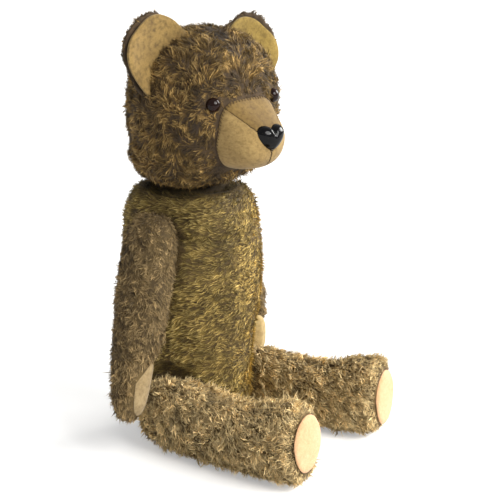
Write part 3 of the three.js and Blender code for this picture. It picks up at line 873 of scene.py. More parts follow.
def pile_tree() -> bpy.types.NodeTree:
    """The tree that grows pile on a skin: hairs in tufts that lean and pull together."""
    numbers = ("Hairs", "Length", "Width", "Tuft Size", "Tuft Pull", "Tuft Sway", "Stray", "Curl")
    others = {"Seed": "NodeSocketInt", "Strands": "NodeSocketCollection", "Finish": "NodeSocketMaterial"}
    sheet, given, result = geometry_sheet("pile", {**dict.fromkeys(numbers, FLOAT), **others})

    def stored(name: str, kind: str = "FLOAT") -> Socket:
        """A value stored on the skin or on the hairs."""
        return sheet.out("GeometryNodeInputNamedAttribute", {"Name": name}, data_type=kind)

    def chance(low: object, high: object, step: int, kind: str = "FLOAT") -> Socket:
        """A random value between two ends, with its own step from the seed."""
        inputs = {"Min": low, "Max": high, "Seed": sheet.math("ADD", given["Seed"], float(step))}
        return sheet.out("FunctionNodeRandomValue", inputs, data_type=kind)

    def heading_of(step: int) -> Socket:
        """A random direction."""
        return chance((-1, -1, -1), (1, 1, 1), step, "FLOAT_VECTOR")

    def keep(geometry: Socket, name: str, value: object, kind: str = "FLOAT") -> Socket:
        """Stores a value on the points."""
        inputs = {"Geometry": geometry, "Name": name, "Value": value}
        return sheet.out("GeometryNodeStoreNamedAttribute", inputs, data_type=kind, domain="POINT")

    grown = sheet.add(
        "GeometryNodeDistributePointsOnFaces",
        {
            "Mesh": given["Geometry"],
            "Density": sheet.math("MULTIPLY", given["Hairs"], stored("pile_density")),
            "Seed": given["Seed"],
        },
        distribute_method="RANDOM",
    )
    centres = sheet.out(
        "GeometryNodeDistributePointsOnFaces",
        {
            "Mesh": given["Geometry"],
            "Distance Min": given["Tuft Size"],
            "Density Max": 1e6,
            "Seed": sheet.math("ADD", given["Seed"], 1.0),
        },
        distribute_method="POISSON",
    )
    place = sheet.out("GeometryNodeInputPosition")
    inputs = {"Geometry": centres, "Sample Position": place}
    nearest = sheet.out("GeometryNodeSampleNearest", inputs, domain="POINT")

    def of_tuft(value: Socket, kind: str) -> Socket:
        """A value read at the middle of the nearest tuft."""
        inputs = {"Geometry": centres, "Value": value, "Index": nearest}
        return sheet.out("GeometryNodeSampleIndex", inputs, data_type=kind, domain="POINT")

    normal = grown.outputs["Normal"]
    centre = of_tuft(sheet.out("GeometryNodeInputPosition"), "FLOAT_VECTOR")
    to_centre = sheet.vector("SUBTRACT", centre, place)
    tuft_way = sheet.vector("SCALE", of_tuft(heading_of(2), "FLOAT_VECTOR"), given["Tuft Sway"])
    own_way = sheet.vector("SCALE", heading_of(3), given["Stray"])
    way = sheet.vector("ADD", stored("pile_comb", "FLOAT_VECTOR"), sheet.vector("ADD", tuft_way, own_way))
    flat = sheet.vector("NORMALIZE", sheet.vector("SUBTRACT", way, sheet.vector("PROJECT", way, normal)))
    rise = sheet.math("MULTIPLY", stored("pile_rise"), chance(0.55, 1.35, 4))
    lying = sheet.vector("SCALE", flat, sheet.math("SUBTRACT", 1.0, rise))
    heading = sheet.vector("ADD", lying, sheet.vector("SCALE", normal, rise))
    upright = sheet.out("FunctionNodeAlignRotationToVector", {"Vector": heading}, axis="Z")
    under = sheet.vector("SCALE", normal, -1.0)
    inputs = {"Rotation": upright, "Vector": under}
    turned = sheet.out("FunctionNodeAlignRotationToVector", inputs, axis="X", pivot_axis="Z")
    tuft_length = of_tuft(chance(0.8, 1.2, 5), "FLOAT")
    length = sheet.math("MULTIPLY", stored("pile_length"), tuft_length)
    length = sheet.math("MULTIPLY", given["Length"], length)
    length = sheet.math("MULTIPLY", length, chance(0.65, 1.15, 6))
    width = sheet.math("MULTIPLY", given["Width"], chance(0.7, 1.3, 7))
    scale = sheet.out("ShaderNodeCombineXYZ", {"X": length, "Y": width, "Z": length})

    points = keep(grown.outputs["Points"], "shade", chance(0.0, 1.0, 8))
    points = keep(points, "tuft", of_tuft(chance(0.0, 1.0, 9), "FLOAT"))
    points = keep(points, "gather", to_centre, "FLOAT_VECTOR")
    points = keep(points, "reach", length)
    inputs = {"Collection": given["Strands"], "Separate Children": True}
    kit = sheet.out("GeometryNodeCollectionInfo", inputs)
    hairs = sheet.out(
        "GeometryNodeInstanceOnPoints",
        {"Points": points, "Instance": kit, "Pick Instance": True, "Rotation": turned, "Scale": scale},
    )
    hairs = sheet.out("GeometryNodeRealizeInstances", {"Geometry": hairs})
    along = stored("along")
    square = sheet.math("POWER", along, 1.6)
    share = sheet.math("MULTIPLY", square, given["Tuft Pull"])
    pull = sheet.vector("SCALE", stored("gather", "FLOAT_VECTOR"), share)
    inputs = {"Vector": sheet.out("GeometryNodeInputPosition"), "Scale": PILE_WAVE, "Detail": 1.0}
    wave = sheet.out("ShaderNodeTexNoise", inputs, get="Color")
    loose = sheet.vector("SUBTRACT", wave, (0.5, 0.5, 0.5))
    share = sheet.math("MULTIPLY", sheet.math("MULTIPLY", along, stored("reach")), given["Curl"])
    bent = sheet.vector("SCALE", loose, share)
    offset = sheet.vector("ADD", pull, bent)
    hairs = sheet.out("GeometryNodeSetPosition", {"Geometry": hairs, "Offset": offset})
    hairs = sheet.out("GeometryNodeSetMaterial", {"Geometry": hairs, "Material": given["Finish"]})
    sheet.feed(result, {"Geometry": hairs})
    return sheet.tree


def lay_out_hairs(piece: Piece) -> None:
    """Gives every hair its own cell on a UV map."""
    mesh = piece.data
    corners = np.empty(len(mesh.loops), np.int32)
    mesh.loops.foreach_get("vertex_index", corners)
    along = np.empty(len(mesh.vertices), np.float32)
    side = np.empty(len(mesh.vertices), np.float32)
    mesh.attributes["along"].data.foreach_get("value", along)
    mesh.attributes["side"].data.foreach_get("value", side)
    hair = corners // HAIR_POINTS
    count = max(int(hair.max()) + 1, 1)
    columns = math.ceil(math.sqrt(count * 1.5))
    rows = math.ceil(count / columns)
    u = (hair % columns + 0.1 + 0.8 * side[corners]) / columns
    v = (hair // columns + 0.1 + 0.8 * along[corners]) / rows
    layer = mesh.uv_layers.new(name="OFBake", do_init=False)
    layer.uv.foreach_set("vector", np.stack([u, v], 1).astype(np.float32).ravel())


def rest_on_floor(piece: Piece, height: float = 0.2) -> None:
    """Bends back what would reach below the floor, to a height in millimetres."""
    points = points_of(piece)
    points[:, 2] = np.maximum(points[:, 2], height * MM)
    move_points(piece, points)


@dataclass
class Plush:
    """One stuffed plush part: its skin, and the pile that grows on it."""

    name: str
    body: str
    slot: str
    nodes: tuple[str, ...]
    cloth: ClothFinish
    finish: PileFinish
    cut: PileCut
    stuffing: Stuffing = field(default_factory=Stuffing)
    voxel: float = 4.0

    def skin(self, held: Callable[[np.ndarray], np.ndarray]) -> Piece:
        """The stuffed skin, one closed mesh. held says how far each point is held down, from 0 to 1."""
        piece = nodes_as_piece(self.name + "_skin", self.nodes)
        remesh = piece.modifiers.new("remesh", "REMESH")
        remesh.mode = "VOXEL"
        remesh.voxel_size = self.voxel * MM
        applied(piece)
        smooth = piece.modifiers.new("smooth", "SMOOTH")
        smooth.factor, smooth.iterations = 0.5, 3
        applied(piece)
        self.stuffing.swell(piece, held(points_of(piece)))
        fine = piece.modifiers.new("fine", "SUBSURF")
        fine.levels = fine.render_levels = 1
        applied(piece)
        piece.data.shade_smooth()
        return piece

    def finish_skin(self, piece: Piece) -> None:
        """Dresses the skin and hands it to the frame."""
        WARDROBE.dress(piece, self.cloth)
        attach(piece, self.body)
        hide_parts(*self.nodes)
        log.info("%s: %d faces", piece.name, len(piece.data.polygons))

    def grow(self, skin: Piece, pile: PileField) -> None:
        """Grows the pile on a copy of the skin, as a piece of its own."""
        mesh = skin.data.copy()
        mesh.name = self.name + "_pile"
        piece = linked(mesh)
        for name in ("density", "length", "rise", "comb"):
            write_values(mesh, "pile_" + name, getattr(pile, name))
        write_values(mesh, "dark", pile.dark)
        modifier = piece.modifiers.new("pile", "NODES")
        modifier.node_group = PILE_TREE
        cut = self.cut
        set_inputs(
            modifier,
            {
                "Hairs": cut.hairs / MM**2,
                "Length": cut.length * MM,
                "Width": cut.width * MM,
                "Tuft Size": cut.tuft * MM,
                "Tuft Pull": cut.pull,
                "Tuft Sway": cut.sway,
                "Stray": cut.stray,
                "Curl": cut.curl,
                "Seed": cut.seed,
                "Strands": STRANDS,
                "Finish": WARDROBE.get(self.finish),
            },
        )
        applied(piece)
        rest_on_floor(piece)
        lay_out_hairs(piece)
        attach(piece, self.body)
        hairs = len(piece.data.vertices) // HAIR_POINTS
        triangles = sum(len(p.vertices) - 2 for p in piece.data.polygons)
        log.info("%s: %d hairs, %d triangles", piece.name, hairs, triangles)


PILE_TREE = pile_tree()
STRANDS = strand_kit()


def turned_about(vectors: np.ndarray, axes: np.ndarray, angles: np.ndarray) -> np.ndarray:
    """Each vector turned about its own axis by its own angle."""
    c, s = np.cos(angles)[:, None], np.sin(angles)[:, None]
    dot = (vectors * axes).sum(1, keepdims=True)
    return vectors * c + np.cross(axes, vectors) * s + axes * dot * (1 - c)


def near_joint(points: np.ndarray, matrix: Matrix, radius: float, depth: float = 1.6) -> np.ndarray:
    """1 on the flat face pressed by a joint, falling to 0 a little outside it.

    Args:
        points: places in the row frame.
        matrix: the joint's frame, x along its pin.
        radius: the pressed face's radius in millimetres.
        depth: how far from the joint's plane still counts.
    """
    at = local(points, matrix)
    out = np.hypot(at[:, 1], at[:, 2])
    return (1 - step_up(out, radius, radius + 6)) * (1 - step_up(np.abs(at[:, 0]), depth, depth + 1.2))


def neck_frame() -> Matrix:
    """Where x runs up the neck pin."""
    return shift(0, 0, NECK_HEIGHT + JOINT_GAP / 2) @ turn(-90, "Y")


def pressed_flat(pile: PileField, share: np.ndarray) -> None:
    """Shortens and flattens the pile where share is 1."""
    pile.length *= 1 - 0.72 * share
    pile.rise *= 1 - 0.8 * share
    pile.density *= 1 - 0.35 * share


# ---- felt and face ----


@dataclass(frozen=True)
class Stitches:
    """A row of sewn stitches. Sizes are in millimetres, and slant is in degrees from the row."""

    name: str
    step: float
    length: float
    thread: float
    slant: float


def stitch_tree() -> bpy.types.NodeTree:
    """The tree that lays one rounded stitch at each point of a row."""
    others = {"Seed": "NodeSocketInt", "Finish": "NodeSocketMaterial"}
    sheet, given, result = geometry_sheet(
        "stitches", {**dict.fromkeys(("Length", "Thread", "Slant"), FLOAT), **others}
    )

    def joined(x: object, y: object, z: object) -> Socket:
        """A vector of three numbers."""
        return sheet.out("ShaderNodeCombineXYZ", {"X": x, "Y": y, "Z": z})

    points = sheet.out("GeometryNodeMeshToPoints", {"Mesh": given["Geometry"]})
    out, way = (
        sheet.out("GeometryNodeInputNamedAttribute", {"Name": name}, data_type="FLOAT_VECTOR")
        for name in ("out", "way")
    )
    upright = sheet.out("FunctionNodeAlignRotationToVector", {"Vector": out}, axis="Z")
    inputs = {"Rotation": upright, "Vector": way}
    along = sheet.out("FunctionNodeAlignRotationToVector", inputs, axis="X", pivot_axis="Z")
    inputs = {"Min": -0.22, "Max": 0.22, "Seed": given["Seed"]}
    uneven = sheet.out("FunctionNodeRandomValue", inputs, data_type="FLOAT")
    angle = joined(0.0, 0.0, sheet.math("ADD", given["Slant"], uneven))
    inputs = {"0": along, "1": sheet.out("FunctionNodeEulerToRotation", {"0": angle})}
    slanted = sheet.out("FunctionNodeRotateRotation", inputs, rotation_space="LOCAL")
    inputs = {"Vertices": 8, "Side Segments": 4, "Radius": 0.5, "Depth": 1.0}
    bar = sheet.out("GeometryNodeMeshCylinder", inputs)
    lying = sheet.out("GeometryNodeTransform", {"Geometry": bar, "Rotation": (0.0, math.pi / 2, 0.0)})
    x = sheet.out("ShaderNodeSeparateXYZ", {"0": sheet.out("GeometryNodeInputPosition")}, get="X")
    drop = sheet.math("MULTIPLY", sheet.math("POWER", sheet.math("ABSOLUTE", x), 2.0), -2.4)
    arched = sheet.out("GeometryNodeSetPosition", {"Geometry": lying, "Offset": joined(0.0, 0.0, drop)})
    size = joined(given["Length"], given["Thread"], given["Thread"])
    inputs = {"Points": points, "Instance": arched, "Rotation": slanted, "Scale": size}
    rows = sheet.out("GeometryNodeInstanceOnPoints", inputs)
    rows = sheet.out("GeometryNodeRealizeInstances", {"Geometry": rows})
    rows = sheet.out("GeometryNodeSetShadeSmooth", {"0": rows})
    rows = sheet.out("GeometryNodeSetMaterial", {"Geometry": rows, "Material": given["Finish"]})
    sheet.feed(result, {"Geometry": rows})
    return sheet.tree


STITCH_TREE = stitch_tree()
STITCH_SEED = 5
EDGE_ANGLE = math.radians(50)


def resampled(points: np.ndarray, step: float, closed: bool = False) -> np.ndarray:
    """Points a step apart along a line."""
    line = np.vstack([points, points[:1]]) if closed else points
    lengths = np.concatenate([[0], np.cumsum(np.linalg.norm(np.diff(line, axis=0), axis=1))])
    count = max(int(lengths[-1] / step), 2)
    marks = np.linspace(0, lengths[-1], count + 1)[: count if closed else None]
    return np.stack([np.interp(marks, lengths, line[:, k]) for k in range(3)], 1)


def sew_face(
    row: Stitches, line: np.ndarray, surface: BVHTree, lift: float, closed: bool = False
) -> None:
    """Sews a row of dark stitches along a line on the face.

    Args:
        row: the kind of stitch.
        line: the line's points, in metres.
        surface: what it is sewn on.
        lift: how far the thread stands off, in millimetres.
        closed: whether the line meets itself.
    """
    at = resampled(line, row.step * MM, closed)
    ahead = np.roll(at, -1, axis=0) - np.roll(at, 1, axis=0)
    if not closed:
        ahead[0], ahead[-1] = at[1] - at[0], at[-1] - at[-2]
    out = np.array([surface.find_nearest(Vector(p))[1] for p in at])
    piece = piece_from(row.name, at + out * lift * MM, [])
    write_values(piece.data, "out", unit(out))
    write_values(piece.data, "way", unit(ahead))
    modifier = piece.modifiers.new("stitches", "NODES")
    modifier.node_group = STITCH_TREE
    set_inputs(
        modifier,
        {
            "Length": row.length * MM,
            "Thread": row.thread * MM,
            "Slant": math.radians(row.slant),
            "Seed": STITCH_SEED,
            "Finish": WARDROBE.get(DARK_THREAD),
        },
    )
    applied(piece)
    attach(piece, "head")
    log.info("%s: %d stitches", piece.name, len(at))


def thickened(piece: Piece, thickness: float, rounding: float) -> Piece:
    """Gives felt its thickness behind its face and rounds its edges, both in millimetres."""
    solid = piece.modifiers.new("thickness", "SOLIDIFY")
    solid.thickness, solid.offset = thickness * MM, -1.0
    applied(piece)
    rounded = piece.modifiers.new("rounded", "BEVEL")
    rounded.width, rounded.segments, rounded.limit_method = rounding * MM, 2, "ANGLE"
    rounded.angle_limit = EDGE_ANGLE
    applied(piece)
    piece.data.shade_smooth()
    return piece


def sheet_piece(name: str, front: np.ndarray, thickness: float, wrap: bool = False) -> Piece:
    """A sheet of felt with rounded edges, made from a grid of points on its outer face.

    Args:
        name: the piece's name.
        front: rows x columns x 3 points in metres, rows outward from the middle where it wraps.
        thickness: in millimetres, behind the face.
        wrap: whether the last column joins the first.

    Returns:
        The closed sheet.
    """
    piece = facing_out(piece_from(name, front.reshape(-1, 3), grid_faces(*front.shape[:2], wrap)))
    return thickened(piece, thickness, 0.35 * thickness)


@dataclass(frozen=True)
class Oval:
    """A felt pad's outline. Half sizes are in millimetres."""

    half_up: float
    half_across: float
    pinch: float = 0.0

    def edge(self, angle: float) -> tuple[float, float]:
        """The outline's point at an angle: up, and across."""
        up = math.cos(angle)
        across = math.sin(angle) * (1 - self.pinch * max(-up, 0.0))
        return self.half_up * up, self.half_across * across


@dataclass(frozen=True)
class Pad:
    """A felt pad set in a plush limb. Its frame has x outward, z up and y across."""

    name: str
    matrix: Matrix
    oval: Oval
    node: str
    bed: tuple[str, ...]
    body: str
    thickness: float = 1.6
    proud: float = 0.9
    dome: float = 0.5
    sag: float = 8.0

    def front(self, rings: int = 14, columns: int = 64) -> np.ndarray:
        """The outer face: a polar grid laid on the limb, smoothed and a little domed."""
        surface = surface_of(self.bed)
        out = aimed(np.array([[1.0, 0, 0]]), self.matrix)[0]
        out /= np.linalg.norm(out)
        grid = np.zeros((rings, columns, 3))
        for i in range(rings):
            share = max(i / (rings - 1), 0.02)
            for k in range(columns):
                up, across = self.oval.edge(2 * math.pi * k / columns)
                start = placed(np.array([[60.0, across * share, up * share]]), self.matrix)[0]
                hit = surface.ray_cast(Vector(start), Vector(-out))[0]
                grid[i, k] = start - out * 0.05 if hit is None else hit
        depth = np.maximum((grid - grid[0, 0]) @ out, -self.sag * MM)
        for _ in range(3):
            mean = (np.roll(depth, 1, 1) + np.roll(depth, -1, 1)) / 2
            inner = np.vstack([np.full((1, columns), depth[1].mean()), depth[:-1]])
            outer = np.vstack([depth[1:], 2 * depth[-1:] - depth[-2:-1]])
            depth = depth * 0.4 + mean * 0.3 + (inner + outer) * 0.15
        share = np.linspace(0, 1, rings)[:, None]
        lift = self.proud + self.dome * (1 - share**2) - 1.1 * step_up(share, 0.9, 1.0)
        flat = grid - ((grid - grid[0, 0]) @ out)[..., None] * out
        return flat + (depth + lift * MM)[..., None] * out

    def build(self, finish: FeltFinish, slot: str) -> Piece:
        """Builds and dresses the pad."""
        front = self.front()
        middle = front[:1].mean(1, keepdims=True).repeat(front.shape[1], 1)
        piece = sheet_piece(self.name, np.vstack([middle, front[1:]]), self.thickness, wrap=True)
        return hand_over(piece, finish, self.body, self.node)


def main_line(points: Sequence[Sequence[float]], count: int) -> np.ndarray:
    """A smooth line of count rows through the given rows, by Catmull-Rom."""
    given = np.asarray(points, float)
    ends = np.vstack([2 * given[0] - given[1], given, 2 * given[-1] - given[-2]])
    made = []
    for t in np.linspace(0, len(given) - 1, count):
        k = min(int(t), len(given) - 2)
        u = t - k
        p0, p1, p2, p3 = ends[k : k + 4]
        square, cube = 2 * p0 - 5 * p1 + 4 * p2 - p3, 3 * p1 - p0 - 3 * p2 + p3
        made.append(0.5 * (2 * p1 + (p2 - p0) * u + square * u**2 + cube * u**3))
    return np.array(made)


# ---- head ----

HEAD_RINGS = (
    (0, 24, 27, 3),
    (6, 33, 34, 1),
    (14, 41, 40, -4),
    (24, 48, 44.5, -8),
    (38, 54, 49, -12),
    (56, 58, 52, -14),
    (76, 58.5, 52.5, -14),
    (93, 52, 47, -13),
    (106, 39, 35, -12),
    (114, 21, 19, -12),
    (116.5, 7, 6, -12),
)
MUZZLE_RINGS = (
    (22, 26.5, 29, -5),
    (45, 26.5, 28.5, -5),
    (58, 24.5, 25.5, -6),
    (68, 20.5, 21, -7),
    (74.5, 14.5, 15, -7.5),
    (77, 6.5, 7, -7.5),
    (77.4, 0.6, 0.6, -7.5),
)
SEAM_SIDE = (24.0, 17.0)
SEAM_POINT = -17.0
SEAM_SLOPE = (SEAM_SIDE[1] - SEAM_POINT) / SEAM_SIDE[0]


def outside_head(at: np.ndarray) -> np.ndarray:
    """Above 0 outside the head's own round, below 0 inside, for face frame points in millimetres."""
    height = at[..., 2] + HEAD_CENTRE[2]
    rings = main_line(HEAD_RINGS, 80)
    wide, deep, back = (np.interp(height, rings[:, 0], rings[:, k]) for k in (1, 2, 3))
    across = np.abs(at[..., 0]) / wide
    along = np.abs(at[..., 1] - back + HEAD_CENTRE[1]) / deep
    return across**2.15 + along**2.15 - 1


@dataclass
class Muzzle:
    """The felt muzzle: a bridge over the nose and a panel on each cheek."""

    columns: int = 96
    rows: int = 30
    felt: float = 1.6
    groove: float = 0.5

    def face(self, angle: np.ndarray, reach: np.ndarray) -> np.ndarray:
        """Points of its outer face by angle round it and by ring, in the face frame in millimetres."""
        rings = main_line(MUZZLE_RINGS, 240)
        place = reach * (len(rings) - 1)
        at, wide, tall, low = (np.interp(place, np.arange(len(rings)), rings[:, k]) for k in range(4))
        c, s = np.cos(angle), np.sin(angle)
        power = np.where(s > 0, 2 / 3.2, 2 / 2.2)
        forward = step_up(at, 46, 72)
        up = np.sign(s) * np.abs(s) ** power
        x = wide * np.sign(c) * np.abs(c) ** power * (1 - 0.28 * forward * np.maximum(up, 0) ** 1.5)
        z = low + tall * up * np.where(s > 0, 1 - 0.3 * forward, 1.0)
        return np.stack(np.broadcast_arrays(x, -at, z), -1)

    def starts(self, angles: np.ndarray) -> np.ndarray:
        """The ring at which the face leaves the head, for each angle."""
        reach = np.linspace(0, 1, 400)
        grid = self.face(angles[:, None], reach[None, :])
        inside = outside_head(grid) < 0
        return np.array([reach[np.flatnonzero(row)[-1]] if row.any() else 0.0 for row in inside])

    def rim(self) -> np.ndarray:
        """A line just inside the felt's edge, in metres, from the bear's left round over the top."""
        angles = np.linspace(0, 2 * np.pi, 160, endpoint=False)
        return placed(self.face(angles, self.starts(angles) + 0.012), face_frame())

    def whole(self) -> Piece:
        """The three panels' outer faces in one mesh, cut along the seams, in face millimetres."""
        angles = np.linspace(0, 2 * np.pi, self.columns, endpoint=False)
        starts = self.starts(angles)
        share = np.linspace(0, 1, self.rows)[:, None]
        grid = self.face(angles[None, :], starts[None, :] + (1 - starts[None, :]) * share)
        faces = grid_faces(self.rows, self.columns, wrap=True)
        front = tuple((self.rows - 1) * self.columns + k for k in range(self.columns))
        piece = piece_from("muzzle", grid.reshape(-1, 3), [*faces, front])
        shape = bmesh.new()
        shape.from_mesh(piece.data)
        bmesh.ops.recalc_face_normals(shape, faces=shape.faces)
        for across in (1, -1):
            cut = Vector((-SEAM_SLOPE * across, 0, 1)).normalized()
            geometry = shape.verts[:] + shape.edges[:] + shape.faces[:]
            bmesh.ops.bisect_plane(shape, geom=geometry, plane_co=(0, 0, SEAM_POINT), plane_no=cut)
        low = [f for f in shape.faces if self.panel_of(f.calc_center_median()) != "bridge"]
        parts = {v for f in low for v in f.verts} | {e for f in low for e in f.edges}
        bmesh.ops.bisect_plane(shape, geom=[*parts, *low], plane_co=(0, 0, 0), plane_no=(1, 0, 0))
        shape.to_mesh(piece.data)
        shape.free()
        return piece

    @staticmethod
    def panel_of(at: Vector) -> str:
        """Which panel a place on the muzzle belongs to."""
        if at.z > SEAM_POINT + SEAM_SLOPE * abs(at.x):
            return "bridge"
        return "side_left" if at.x > 0 else "side_right"

    def build(self) -> list[Piece]:
        """Builds the three panels as sheets of felt."""
        whole = self.whole()
        made = []
        for panel in ("bridge", "side_right", "side_left"):
            shape = bmesh.new()
            shape.from_mesh(whole.data)
            away = [f for f in shape.faces if self.panel_of(f.calc_center_median()) != panel]
            bmesh.ops.delete(shape, geom=away, context="FACES")
            shape.normal_update()
            for vertex in shape.verts:
                if vertex.is_boundary:
                    vertex.co -= vertex.normal * self.groove
            bmesh.ops.transform(shape, matrix=Matrix.Diagonal((MM, MM, MM, 1)), verts=shape.verts)
            bmesh.ops.transform(shape, matrix=face_frame(), verts=shape.verts)
            mesh = bpy.data.meshes.new(f"muzzle_{panel}_felt")
            shape.to_mesh(mesh)
            shape.free()
            piece = thickened(linked(mesh), self.felt, 0.5)
            finish = BRIDGE_FELT if panel == "bridge" else CHEEK_FELT
            made.append(hand_over(piece, finish, "head", f"muzzle_{panel}"))
        bpy.data.objects.remove(whole)
        return made

    def mouth(self) -> np.ndarray:
        """The seam's line under the nose, in metres."""
        return placed(self.face(np.full(60, -np.pi / 2), np.linspace(0.97, 0.6, 60)), face_frame())

    def seam(self, side: Side) -> np.ndarray:
        """A slanted seam's line beside the bridge, in metres."""
        angles = np.linspace(np.pi * 0.5, np.pi * 1.5, 500)
        found = []
        for reach in np.linspace(0.3, 0.96, 70):
            ring = self.face(angles, np.full(500, reach))
            above = ring[:, 2] - SEAM_POINT - SEAM_SLOPE * np.abs(ring[:, 0])
            crossing = np.flatnonzero(np.diff(np.sign(above)))
            if len(crossing):
                found.append(ring[crossing[0]])
        found = np.array(found)
        found[:, 0] *= -side.sign
        return placed(found[outside_head(found) > 0.02], face_frame())


@dataclass
class NoseButton:
    """The moulded heart nose with two lobes and a point."""

    width: float = 25.0
    height: float = 19.5
    depth: float = 9.0
    middle: tuple[float, float, float] = (0.0, -73.0, -6.0)

    def outline(self, count: int) -> np.ndarray:
        """The heart's edge, x across and z up, in millimetres."""
        w, h = self.width / 2, self.height
        runs = (
            ((0, -h * 0.5), (-w * 0.55, -h * 0.42), (-w, -h * 0.02), (-w, h * 0.2)),
            ((-w, h * 0.2), (-w, h * 0.5), (-w * 0.35, h * 0.58), (0, h * 0.4)),
            ((0, h * 0.4), (w * 0.35, h * 0.58), (w, h * 0.5), (w, h * 0.2)),
            ((w, h * 0.2), (w, -h * 0.02), (w * 0.55, -h * 0.42), (0, -h * 0.5)),
        )
        t = np.linspace(0, 1, count // 4, endpoint=False)[:, None]
        made = []
        for a, b, c, d in runs:
            a, b, c, d = (np.array(p, float) for p in (a, b, c, d))
            made.append((1 - t) ** 3 * a + 3 * (1 - t) ** 2 * t * b + 3 * (1 - t) * t**2 * c + t**3 * d)
        return np.vstack(made)

    def build(self) -> None:
        """Builds the nose as a puffed heart with a soft cleft."""
        edge = self.outline(96)
        rings, count = 20, len(edge)
        points, faces = [], grid_faces(rings, count, wrap=True)
        for i in range(rings):
            share = (i + 1) / rings
            high = self.depth * (1 - share**2.6) ** 0.5
            for x, z in edge * share:
                cleft = 1.2 * math.exp(-((x / 1.6) ** 2)) * step_up(np.array([z]), 0.0, 6.0)[0]
                points.append((x, -(high - cleft), z))
        points.append((0, -self.depth, 0))
        for x, z in edge * 0.92:
            points.append((x, 2.5, z))
        points.append((0, 2.5, 0))
        top, back = rings * count, rings * count + 1
        for k in range(count):
            j = (k + 1) % count
            faces.append((k, j, top))
            faces.append((back + k, back + j, back + count))
            faces.append(((rings - 1) * count + k, (rings - 1) * count + j, back + j, back + k))
        placed_points = placed(np.array(points) + np.array(self.middle), face_frame())
        piece = facing_out(piece_from("nose_button", placed_points, faces))
        hand_over(piece, NOSE_PLASTIC, "head", "nose")


@dataclass
class EyeButton:
    """A domed plastic eye on a shank."""

    side: Side
    place: tuple[float, float, float] = (29.6, -46.0, 18.0)
    radius: float = 5.3
    rise: float = 4.6

    def matrix(self) -> Matrix:
        """The eye's frame, x outward."""
        out = Vector((self.place[0], self.place[1], self.place[2] * 0.6)).normalized()
        aim = Vector((1, 0, 0)).rotation_difference(out).to_matrix().to_4x4()
        return face_frame() @ mirrored(self.side) @ shift(*self.place) @ aim

    def build(self) -> None:
        """Builds the dome with a thin rolled rim."""
        slopes = np.linspace(0.12, math.pi / 2, 12)
        profile = [(self.rise * math.cos(a), self.radius * math.sin(a)) for a in slopes]
        profile += [(-0.6, self.radius + 0.1), (-1.2, self.radius - 0.3), (-2.5, self.radius - 1.2)]
        columns = 40
        around = np.linspace(0, 2 * math.pi, columns, endpoint=False)
        points, faces = [(self.rise, 0, 0)], []
        for x, r in profile:
            points += [(x, r * math.cos(a), r * math.sin(a)) for a in around]
        points.append((-2.5, 0, 0))
        last = len(points) - 1
        for k in range(columns):
            j = (k + 1) % columns
            faces.append((0, 1 + k, 1 + j))
            for i in range(len(profile) - 1):
                a = 1 + i * columns
                faces.append((a + k, a + columns + k, a + columns + j, a + j))
            a = 1 + (len(profile) - 1) * columns
            faces.append((a + k, last, a + j))
        side = self.side.value
        piece = facing_out(piece_from(f"eye_button_{side}", placed(points, self.matrix()), faces))
        hand_over(piece, EYE_PLASTIC, "head", f"eye_{side}")


@dataclass
class Ear:
    """A half-disc ear: felt in front, plush behind."""

    side: Side
    height: float
    rise: float
    lean: float
    width: float = 30.0
    settled: tuple[float, float, float] = (0.0, 0.0, 0.0)
    root: float = 14.0
    cup: float = 5.0
    fullness: float = 3.0
    felt: float = 1.8
    rim: float = 2.2

    def matrix(self) -> Matrix:
        """The ear's frame: x across, z up and y backward."""
        sagged = face_frame() @ mirrored(self.side) @ shift(*self.settled)
        return sagged @ shift(44, -5, self.rise) @ turn(self.lean, "Y")

    def lining(self) -> None:
        """The felt in front."""
        across, up = 48, 30
        grid = np.zeros((across, up, 3))
        for i, u in enumerate(np.linspace(-1, 1, across)):
            top = max(1 - abs(u) ** self.fullness, 0.0) ** 0.5
            for k, share in enumerate(np.linspace(0, 1, up)):
                x = u * (self.width - self.rim)
                z = -self.root + share * (self.root + top * (self.height - self.rim) + 0.5)
                away = (x / self.width) ** 2 + max(z / self.height, 0) ** 2
                tucked = 0.9 * step_up(np.array([away]), 0.75, 1.0)[0]
                grid[i, k] = (x, -self.cup * away - 0.4 + tucked, z)
        front = placed(grid.reshape(-1, 3), self.matrix()).reshape(across, up, 3)
        piece = sheet_piece(f"ear_felt_{self.side.value}", front, self.felt)
        hand_over(piece, EAR_FELT[self.side], "head", f"ear_lining_{self.side.value}")

    def back(self) -> None:
        """The plush behind, with its pile on the back and the rim."""
        part = Plush(
            f"ear_{self.side.value}",
            "head",
            "head_plush",
            (f"ear_back_{self.side.value}",),
            HEAD_CLOTH,
            HEAD_PILE,
            PileCut(2.0, 4.2, 0.5, 3.0, 0.2, 0.5, 0.4, seed=31 + self.side.sign),
            voxel=2.4,
        )
        skin = part.skin(lambda points: np.ones(len(points)))
        move = aimed(np.array([self.settled]), face_frame() @ mirrored(self.side)) * MM
        move_points(skin, points_of(skin) + move)
        points, normals = points_of(skin), normals_of(skin)
        at = local(points, self.matrix())
        facing, up = aimed([[0, -1.0, 0], [0, 0, 1.0]], self.matrix())
        front = step_up(normals @ facing, -0.6, -0.1)
        sideways = aimed(at * (1 / 30, 0, 0), self.matrix())
        pile = PileField(
            (1 - front) * step_up(at[:, 2], -8, 0),
            0.8 + 0.2 * drift(points, 0.01, 3.0),
            np.full(len(points), 0.22),
            unit(up + 0.4 * sideways),
            # painted shade in the partings
            0.4 * furrows(points, 0.008, 4.0),
        )
        part.finish_skin(skin)
        part.grow(skin, pile)


